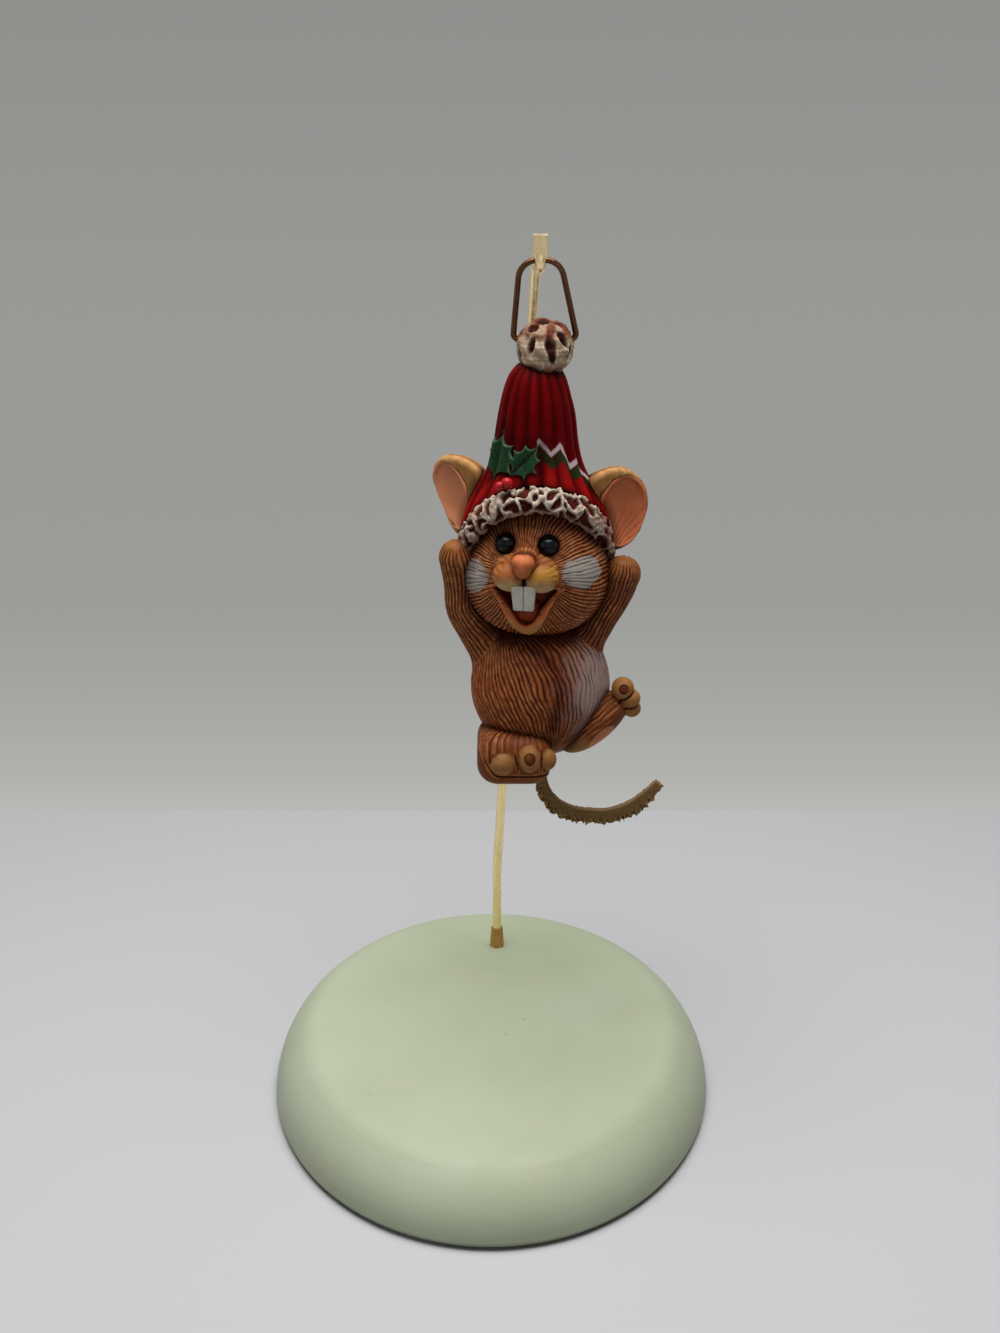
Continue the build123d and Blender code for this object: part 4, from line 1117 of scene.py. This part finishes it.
# Pompom: a woollen ball with long gouges. Each gouge has its turn, height, half width, half length and slant.
pompom = {
    "size": 8.8, "seed": 91, "voxel": 0.11, "rubs": 4,
    "front": ((-32, 9, 0.62, 1.45, 12), (11, 3, 0.85, 2.3, -9), (42, 24, 0.65, 1.5, -30),
              (62, -4, 0.6, 1.4, 15), (-41, 50, 0.95, 0.95, 0), (-20, 76, 1.1, 0.8, 0)),
    "gougeEdge": (-1.2, -0.7), "gougeRagged": 0.14, "gougeDepth": 0.55, "swell": 0.05, "mottle": (-1.0, 0.5),
    "top": (0.22, 0.55), "low": (0.35, 0.7), "back": (-0.45, -0.05), "seamShade": 0.8, "fine": 0.12,
    "broad": 0.5,
    "lines": 0.5,
    "paint": {
        "middle": (190, 166, 138), "crest": (222, 206, 182), "dark": (44, 10, 5), "roughness": 0.5,
        "shine": 0.08,
        "patches": {"tanRim": (150, 96, 60), "brownTop": (116, 62, 42), "gouge": (52, 10, 5)},
    },
}
pomLow, pomHigh = [np.array(corner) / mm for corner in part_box("pompom")]
pomCentre = (pomLow + pomHigh) / 2
pomPiece = clay(addBall("pompomBall", pomCentre, (pompom["size"],) * 3), pompom["voxel"], pompom["rubs"])
places, normals = readPoints(pomPiece)
gouges = list(pompom["front"])
source = np.random.default_rng(pompom["seed"])
for turnBack in range(100, 291, 38):
    gouges.append(
        (turnBack, source.uniform(-15, 20), 0.55, source.uniform(1.2, 1.9), source.uniform(-15, 15))
    )
for turnTop in range(50, 290, 60):
    gouges.append((turnTop + source.uniform(-12, 12), 56, 0.5, 0.8, source.uniform(-20, 20)))
for turnLow in range(0, 360, 60):
    gouges.append((turnLow + 30, -56, 0.45, 0.8, source.uniform(-20, 20)))
out = (places - pomCentre) / np.linalg.norm(places - pomCentre, axis=1)[:, None]
gouged = np.zeros(len(places))
for azimuthDeg, elevation, halfWidth, halfLength, slantDeg in gouges:
    a, e, slant = (math.radians(angle) for angle in (azimuthDeg, elevation, slantDeg))
    way = np.array([math.sin(a) * math.cos(e), -math.cos(a) * math.cos(e), math.sin(e)])
    right = np.array([math.cos(a), math.sin(a), 0])
    upward = np.cross(way, right)
    upward = upward if upward[2] > 0 else -upward
    gap = (out - way) * pompom["size"] / 2
    sideGap = gap @ right * math.cos(slant) - gap @ upward * math.sin(slant)
    longGap = gap @ right * math.sin(slant) + gap @ upward * math.cos(slant)
    reach = np.hypot(sideGap / halfWidth, longGap / halfLength)
    reach = reach + pompom["gougeRagged"] * ripple(places, 0.8, pompom["seed"] + 1)
    gouged = np.maximum(gouged, fade(-reach, *pompom["gougeEdge"]) * (out @ way > 0.5))
lumps = 0.13 * ripple(places, 1.2, pompom["seed"] + 2) + 0.04 * ripple(places, 0.4, pompom["seed"] + 4)
places = places + normals * (pompom["swell"] + lumps - pompom["gougeDepth"] * gouged)[:, None]
writePoints(pomPiece, places)
mottled = fade(ripple(places, 1.2, pompom["seed"] + 3), *pompom["mottle"])
lowOrBack = np.maximum(fade(-out[:, 2], *pompom["low"]), fade(out[:, 1], *pompom["back"]))
store(pomPiece, "gouge", gouged)
store(pomPiece, "brownTop", fade(out[:, 2], *pompom["top"]) * (0.4 + 0.6 * mottled))
store(pomPiece, "tanRim", lowOrBack * (0.3 + 0.6 * mottled))
extra = 0.5 * nearTo(places, pompom["seamShade"], crownPiece)
washShadeAndHighlight(pomPiece, pompom["fine"], pompom["broad"], extra, pompom["lines"])
dress(pomPiece, washAndShadeFinish("pompomWool", **pompom["paint"]), "figurine", "wool_white", "pompom")

# Holly: spined leaves wrapped on the crown, veins pressed in and darkened, pale edges painted as highlight,
# painted shade low on the blade
leaves = {
    "holly_leaf_left": {"azimuth": -58.0, "up": 20.6, "turn": -3.0, "length": 9.0, "width": 8.4},
    "holly_leaf_right": {"azimuth": -16.5, "up": 20.3, "turn": -42.0, "length": 8.0, "width": 5.6},
}
blade = {
    "outlineShares": ((0.0, 0.5), (0.36, 0.26), (0.5, 0.0), (0.4, -0.28), (0.0, -0.5)), "hollowShare": 0.3,
    "spanSteps": 8, "thickness": 1.0, "voxel": 0.11, "rubs": 2, "veinShares": (-0.5, 0.42),
    "sideVeinShares": (0.08, -0.14, -0.36), "spineShare": 0.9, "veinWidth": 0.24, "sideWidth": 0.13,
    "sideShare": 0.55, "crown": 0.38, "cupRise": 0.22, "cupReach": 1.4, "rimEdge": (-0.3, 0.0),
    "rimDrop": 0.1,
    "veinDepth": 0.22, "sideDepth": 0.1, "upShare": 0.93, "wrapRadius": 7.3, "sunk": 0.25, "far": 30,
    "crownRadius": 7,
    "brushEdge": (-0.35, -0.08),
    "paint": {
        "middle": (24, 60, 32), "crest": (76, 102, 68), "dark": (28, 16, 8), "patches": {}, "mottle": 1.0,
        "shine": 0.12,
    },
}


def leafRim(width, length):
    # hollow spans between the spines
    spines = [np.array([x * width, y * length]) for x, y in blade["outlineShares"]]
    spines += [np.array([-point[0], point[1]]) for point in reversed(spines[1:-1])]
    rim = []
    for start, end in zip(spines, spines[1:] + spines[:1]):
        middle = (start + end) / 2
        for step in range(blade["spanSteps"]):
            share = step / blade["spanSteps"]
            pull = 4 * share * (1 - share) * blade["hollowShare"]
            rim.append((start + (end - start) * share) - middle * pull)
    return np.array(rim), spines


for leafNode, leaf in leaves.items():
    rim, spines = leafRim(leaf["width"], leaf["length"])
    bpy.ops.object.select_all(action="DESELECT")
    bpy.ops.mesh.primitive_circle_add(vertices=len(rim), radius=1, fill_type="NGON")
    leafPiece = bpy.context.active_object
    leafPiece.name = leafNode + "Blade"
    flat = np.zeros((len(rim), 3))
    flat[:, :2] = rim
    writePoints(leafPiece, flat)
    makeActive(leafPiece)
    bpy.ops.object.mode_set(mode="EDIT")
    bpy.ops.mesh.select_all(action="SELECT")
    bpy.ops.mesh.extrude_region_move(TRANSFORM_OT_translate={"value": (0, 0, blade["thickness"] * mm)})
    bpy.ops.object.mode_set(mode="OBJECT")
    turnOutwards(leafPiece)
    clay(leafPiece, blade["voxel"], blade["rubs"])
    places, _ = readPoints(leafPiece)
    onBlade = places[:, :2]
    high = np.clip(places[:, 2], 0, 1)
    rimGap = distanceToPath(onBlade, [*rim, rim[0]])
    midVein = distanceToPath(onBlade, [(0, share * leaf["length"]) for share in blade["veinShares"]])
    roots = [(0, share * leaf["length"]) for share in blade["sideVeinShares"]]
    sideVein = np.min([
        distanceToPath(onBlade, [root, spine * blade["spineShare"]])
        for root, spine in zip(roots + roots[::-1], spines[1:4] + spines[5:8])
    ], axis=0)
    vein = bell(midVein, blade["veinWidth"])
    smallVein = bell(sideVein, blade["sideWidth"]) * blade["sideShare"]
    cup = blade["crown"] + blade["cupRise"] * np.clip(midVein / blade["cupReach"], 0, 1)
    cup = cup - blade["rimDrop"] * fade(-rimGap, *blade["rimEdge"])
    cup = cup - blade["veinDepth"] * vein - blade["sideDepth"] * smallVein
    slant = math.radians(leaf["turn"])
    beside = onBlade[:, 0] * math.cos(slant) - onBlade[:, 1] * math.sin(slant)
    upward = onBlade[:, 0] * math.sin(slant) + onBlade[:, 1] * math.cos(slant)
    laid = np.empty_like(places)
    for row in range(len(places)):
        turnTo = math.radians(leaf["azimuth"]) + beside[row] / blade["wrapRadius"]
        way = Vector((math.sin(turnTo), -math.cos(turnTo), 0))
        level = headCentre[2] + leaf["up"] + upward[row] * blade["upShare"]
        axis = Vector((headCentre[0], headCentre[1], level)) * mm
        spot = crownSkin.ray_cast(axis + way * blade["far"] * mm, -way)[0]
        if spot is None:
            spot = crownSkin.find_nearest(axis + way * blade["crownRadius"] * mm)[0]
        lift = -blade["sunk"] + high[row] * (blade["sunk"] + cup[row])
        laid[row] = np.array(spot) / mm + np.array(way) * lift
    writePoints(leafPiece, averaged(leafPiece, laid, 3))
    turnOutwards(leafPiece)
    # dark in the pressed veins and low on the blade down to the crown: painted shade
    store(leafPiece, "washAndShade", vein * 0.75 + (1 - high) * 0.9 + smallVein * 0.3)
    # pale rim along the top of the blade: painted highlight
    store(leafPiece, "crest", fade(-rimGap, *blade["brushEdge"]) * 0.9 * (high > 0.6))
    dress(leafPiece, washAndShadeFinish(leafNode + "Paint", **blade["paint"]), "figurine", "holly_green", leafNode)

# Berries
berries = {
    "places": (((-5.75, -8.1, 16.85), 1.5), ((-4.65, -8.0, 17.3), 1.85)),
    "paint": {"light": (190, 20, 26), "deep": (140, 8, 14), "roughness": 0.24, "size": 0.9, "coat": 0.3},
}
balls = []
for spot, size in berries["places"]:
    balls.append(addBall("berryBall", headCentre + spot, (size,) * 3))
    bpy.ops.object.shade_smooth()
berryPiece = pressTogether("berryPair", balls)
dress(berryPiece, plainPaint("berryPaint", **berries["paint"]), "figurine", "berry_red", "holly_berries")

# Tail: a strip of suede, fuzzy along its lower edge. Stations are across, up and width, as shares.
tail = {
    "reach": 20.5, "width": 2.3, "thickness": 1.4, "back": 4.0, "steps": 100, "rows": 12, "seed": 112,
    "stationShares": (
        (-0.04, -0.49, 0.87), (-0.01, -0.76, 0.87), (0.016, -0.918, 0.87), (0.057, -1.047, 0.93),
        (0.149, -1.156, 0.97),
        (0.281, -1.222, 1.0), (0.428, -1.244, 1.0), (0.581, -1.244, 1.0), (0.734, -1.192, 1.0),
        (0.857, -1.108, 0.93),
        (0.998, -0.949, 0.58),
    ),
    "voxel": 0.11, "rubs": 3, "fuzz": (0.0, 0.9), "nap": 0.05, "fuzzNap": 0.22, "sway": 0.15, "tuft": 0.34,
    "tuftEdge": (0.5, 1.1), "washAndShade": (0.01, 0.12), "washRounds": 14,
    "top": (156, 124, 82), "shade": (104, 78, 46), "speckDark": (74, 48, 20), "speckLight": (196, 154, 88),
    "dark": (52, 34, 12), "grain": 0.3, "specks": 0.4, "napDepth": 0.08,
}
tailRoute = smoothRoute(tail["stationShares"], tail["steps"])
tailLine = tailRoute[:, :2] * tail["reach"]
widths = tailRoute[:, 2] * tail["width"]
way = np.gradient(tailLine, axis=0)
way /= np.linalg.norm(way, axis=1)[:, None]
downward = np.stack([way[:, 1], -way[:, 0]], 1)
bpy.ops.object.select_all(action="DESELECT")
bpy.ops.mesh.primitive_grid_add(x_subdivisions=tail["steps"] - 1, y_subdivisions=tail["rows"], size=1)
tailPiece = bpy.context.active_object
tailPiece.name = "tailSuede"
flat = np.array([vertex.co for vertex in tailPiece.data.vertices])
column = np.clip(np.rint((flat[:, 0] + 0.5) * (tail["steps"] - 1)).astype(int), 0, tail["steps"] - 1)
placed = np.empty_like(flat)
placed[:, 0] = torsoCentre[0] + tailLine[column, 0] + downward[column, 0] * flat[:, 1] * widths[column]
placed[:, 1] = torsoCentre[1] + tail["back"]
placed[:, 2] = torsoCentre[2] + tailLine[column, 1] + downward[column, 1] * flat[:, 1] * widths[column]
writePoints(tailPiece, placed)
makeActive(tailPiece)
thick = tailPiece.modifiers.new("thick", "SOLIDIFY")
thick.thickness = tail["thickness"] * mm
thick.offset = 0
bpy.ops.object.modifier_apply(modifier=thick.name)
clay(tailPiece, tail["voxel"], tail["rubs"])
places, normals = readPoints(tailPiece)
flatSpot = places[:, [0, 2]] - torsoCentre[[0, 2]]
nearest = np.linalg.norm(flatSpot[:, None, :] - tailLine[None, :, :], axis=2).argmin(1)
low = ((flatSpot - tailLine[nearest]) * downward[nearest]).sum(1)
fuzz = fade(low, *tail["fuzz"])
nap = ripple(places, 0.5, tail["seed"]) * 0.5 + ripple(places, 0.28, tail["seed"] + 1) * 0.5
tufts = np.maximum(ripple(places, 0.42, tail["seed"] + 2) + 0.5 * ripple(places, 0.9, tail["seed"] + 3), 0)
places = places + normals * (nap * (tail["nap"] + tail["fuzzNap"] * fuzz))[:, None]
places[:, 0] += tail["sway"] * fuzz * ripple(places, 0.5, tail["seed"] + 4)
places[:, 2] -= tail["tuft"] * fade(low, *tail["tuftEdge"]) * tufts
writePoints(tailPiece, places)
store(tailPiece, "fuzz", fuzz)
# darker in its hollows: painted shade
store(tailPiece, "washAndShade", fade(hollowDepth(tailPiece, tail["washRounds"]), *tail["washAndShade"]))
tailFinish, tree, shader = newFinish("tailNap", 0.9)
napGrain = grain(tree, tail["grain"], 5.0, roughness=0.7)
napShade = ramp(tree, napGrain, (0.3, 0.0), (0.7, 1.0))
colour = mixed(tree, napShade, toLinear(tail["top"]), toLinear(tail["shade"]))
specks = grain(tree, tail["specks"], 4.0, roughness=0.65)
speckled = ramp(tree, specks, (0.4, toLinear(tail["speckDark"])), (0.6, toLinear(tail["speckLight"])))
colour = mixed(tree, product(tree, carved(tree, "fuzz"), 0.75), colour, speckled)
colour = mixed(tree, product(tree, carved(tree, "washAndShade"), 0.8), colour, toLinear(tail["dark"]))
tree.links.new(colour, shader.inputs["Base Color"])
shader.inputs["Sheen Weight"].default_value = 0.2
bump(tree, shader, napGrain, tail["napDepth"], 0.9)
dress(tailPiece, tailFinish, "figurine", "tail_suede", "tail")


# Finishes of the pieces that keep their solids
def wireFinish(name, light, deep, roughness, along):
    finish, tree, shader = newFinish(name, roughness, metal=1.0)
    streaks = ramp(tree, grain(tree, 0.5, 3.0, stretch=along), (0.3, 0.0), (0.72, 1.0))
    colour = mixed(tree, product(tree, streaks, 0.5), toLinear(light), toLinear(deep))
    tarnish = ramp(tree, grain(tree, 4.0, 4.0), (0.55, 0.0), (0.75, 0.35))
    colour = mixed(tree, tarnish, colour, toLinear(deep))
    tree.links.new(colour, shader.inputs["Base Color"])
    variedGloss(tree, shader, 1.2, roughness - 0.06, roughness + 0.1)
    bump(tree, shader, streaks, 0.001, 0.3)
    return finish


# pale green glaze with warm clouds and a few dark specks
glaze = {
    "light": (184, 193, 166), "deep": (175, 184, 155), "cloud": 26, "warm": (190, 189, 160), "warmCloud": 11,
    "speck": (128, 128, 98), "speckSpacing": 9, "gloss": 6, "glossRange": (0.36, 0.5), "ripple": 1.6,
    "depth": 0.02,
}


def glazeFinish():
    finish, tree, shader = newFinish("baseGlaze", 0.4, shine=0.16)
    cloud = ramp(tree, grain(tree, glaze["cloud"], 3.0), (0.35, 0.0), (0.7, 1.0))
    colour = mixed(tree, cloud, toLinear(glaze["light"]), toLinear(glaze["deep"]))
    warm = ramp(tree, grain(tree, glaze["warmCloud"], 4.0), (0.55, 0.0), (0.8, 0.4))
    colour = mixed(tree, warm, colour, toLinear(glaze["warm"]))
    specks = addNode(tree, "ShaderNodeTexVoronoi", feature="F1")
    specks.inputs["Scale"].default_value = 1 / (glaze["speckSpacing"] * mm)
    place = addNode(tree, "ShaderNodeTexCoord")
    tree.links.new(place.outputs["Object"], specks.inputs["Vector"])
    dots = ramp(tree, specks.outputs["Distance"], (0.0, 0.55), (0.022, 0.55), (0.034, 0.0))
    colour = mixed(tree, dots, colour, toLinear(glaze["speck"]))
    tree.links.new(colour, shader.inputs["Base Color"])
    variedGloss(tree, shader, glaze["gloss"], *glaze["glossRange"])
    bump(tree, shader, grain(tree, glaze["ripple"], 4.0), glaze["depth"], 0.35)
    return finish


def feltFinish():
    finish, tree, shader = newFinish("feltPile", 0.95)
    pile = grain(tree, 0.35, 5.0, roughness=0.7)
    shade = ramp(tree, pile, (0.3, 0.0), (0.7, 1.0))
    colour = mixed(tree, shade, toLinear((44, 62, 48)), toLinear((24, 38, 28)))
    tree.links.new(colour, shader.inputs["Base Color"])
    shader.inputs["Sheen Weight"].default_value = 0.4
    bump(tree, shader, pile, 0.12, 0.9)
    return finish


eyeFinish, tree, shader = newFinish("eyeGloss", 0.14, 0.03, shine=0.16)
shades = ramp(tree, grain(tree, 1.2), (0.3, 0.0), (0.7, 1.0))
tree.links.new(mixed(tree, shades, toLinear((4, 4, 6)), toLinear((8, 10, 17))), shader.inputs["Base Color"])
kept = {
    "display_base": glazeFinish(),
    "base_felt": feltFinish(),
    "stand_rod": wireFinish("rodBrass", (255, 234, 184), (238, 200, 134), 0.26, (1, 1, 12)),
    "rod_collar": wireFinish("collarBrass", (200, 156, 94), (132, 84, 44), 0.3, (1, 1, 4)),
    "hanger_loop": wireFinish("loopBronze", (104, 72, 48), (52, 32, 22), 0.22, (1, 1, 8)),
    "eye_left": eyeFinish,
    "eye_right": eyeFinish,
}
for node, finish in kept.items():
    for place in nodes[node].material_slots:
        place.material = finish
print("dressed", len(kept), "pieces that keep their solids")


# Floor, a glowing wall far behind it, and air; the tones of both are painted light
def toneRamp(tree, axis, tones, blue):
    first, last = min(tones)[0], max(tones)[0]
    place = addNode(tree, "ShaderNodeTexCoord")
    split = addNode(tree, "ShaderNodeSeparateXYZ")
    tree.links.new(place.outputs["Object"], split.inputs["Vector"])
    span = addNode(tree, "ShaderNodeMapRange")
    span.inputs["From Min"].default_value = first * mm
    span.inputs["From Max"].default_value = last * mm
    tree.links.new(split.outputs[axis], span.inputs["Value"])
    stops = [
        ((spot - first) / (last - first), toLinear((tone, tone, tone * blue)))
        for spot, tone in sorted(tones)
    ]
    return ramp(tree, span.outputs["Result"], *stops)


def addPlane(name, size, place, turn=(0, 0, 0)):
    bpy.ops.object.select_all(action="DESELECT")
    bpy.ops.mesh.primitive_plane_add(size=1)
    plane = bpy.context.active_object
    plane.name = name
    plane.scale = (size[0] * mm, size[1] * mm, 1)
    plane.rotation_euler = [math.radians(angle) for angle in turn]
    plane.location = Vector(place) * mm
    applyPlace(plane)
    return plane


reach, back = room["floorReach"], room["floorBack"]
floor = addPlane("floor", (2 * reach, reach + back), (0, (back - reach) / 2, 0))
floorFinish, tree, shader = newFinish("floorPaper", 0.7, shine=room["floorShine"])
# the floor's tones, darker towards the back, are painted light
paper = toneRamp(tree, "Y", room["floorTones"], room["floorBlue"])
# the floor throws less light up on the figure than its tone would
dimmed = mixed(tree, 1.0, paper, (room["bounce"],) * 3 + (1,), "MULTIPLY")
rays = addNode(tree, "ShaderNodeLightPath")
tree.links.new(mixed(tree, rays.outputs["Is Diffuse Ray"], paper, dimmed), shader.inputs["Base Color"])
floor.data.materials.append(floorFinish)
wall = addPlane("wall", room["wallSize"], room["wallPlace"], (90, 0, 0))
# the wall glows with its tones instead of being lit: painted light, brighter lower down
wallFinish, tree, shader = newFinish("wallGlow", 0.9, shine=0.0)
shader.inputs["Base Color"].default_value = (0, 0, 0, 1)
shader.inputs["Emission Strength"].default_value = 1
tree.links.new(toneRamp(tree, "Z", room["wallTones"], room["wallBlue"]), shader.inputs["Emission Color"])
wall.data.materials.append(wallFinish)
air = bpy.data.worlds.new("air")
air.use_nodes = True
bpy.context.scene.world = air
tree = air.node_tree
rays = addNode(tree, "ShaderNodeLightPath")
soft = mixed(tree, rays.outputs["Is Glossy Ray"], (room["fill"],) * 3 + (1,), (room["gleam"],) * 3 + (1,))
fill = mixed(tree, rays.outputs["Is Camera Ray"], soft, toLinear(room["air"]))
tree.links.new(fill, tree.nodes["Background"].inputs["Color"])

print("done: all pieces made")
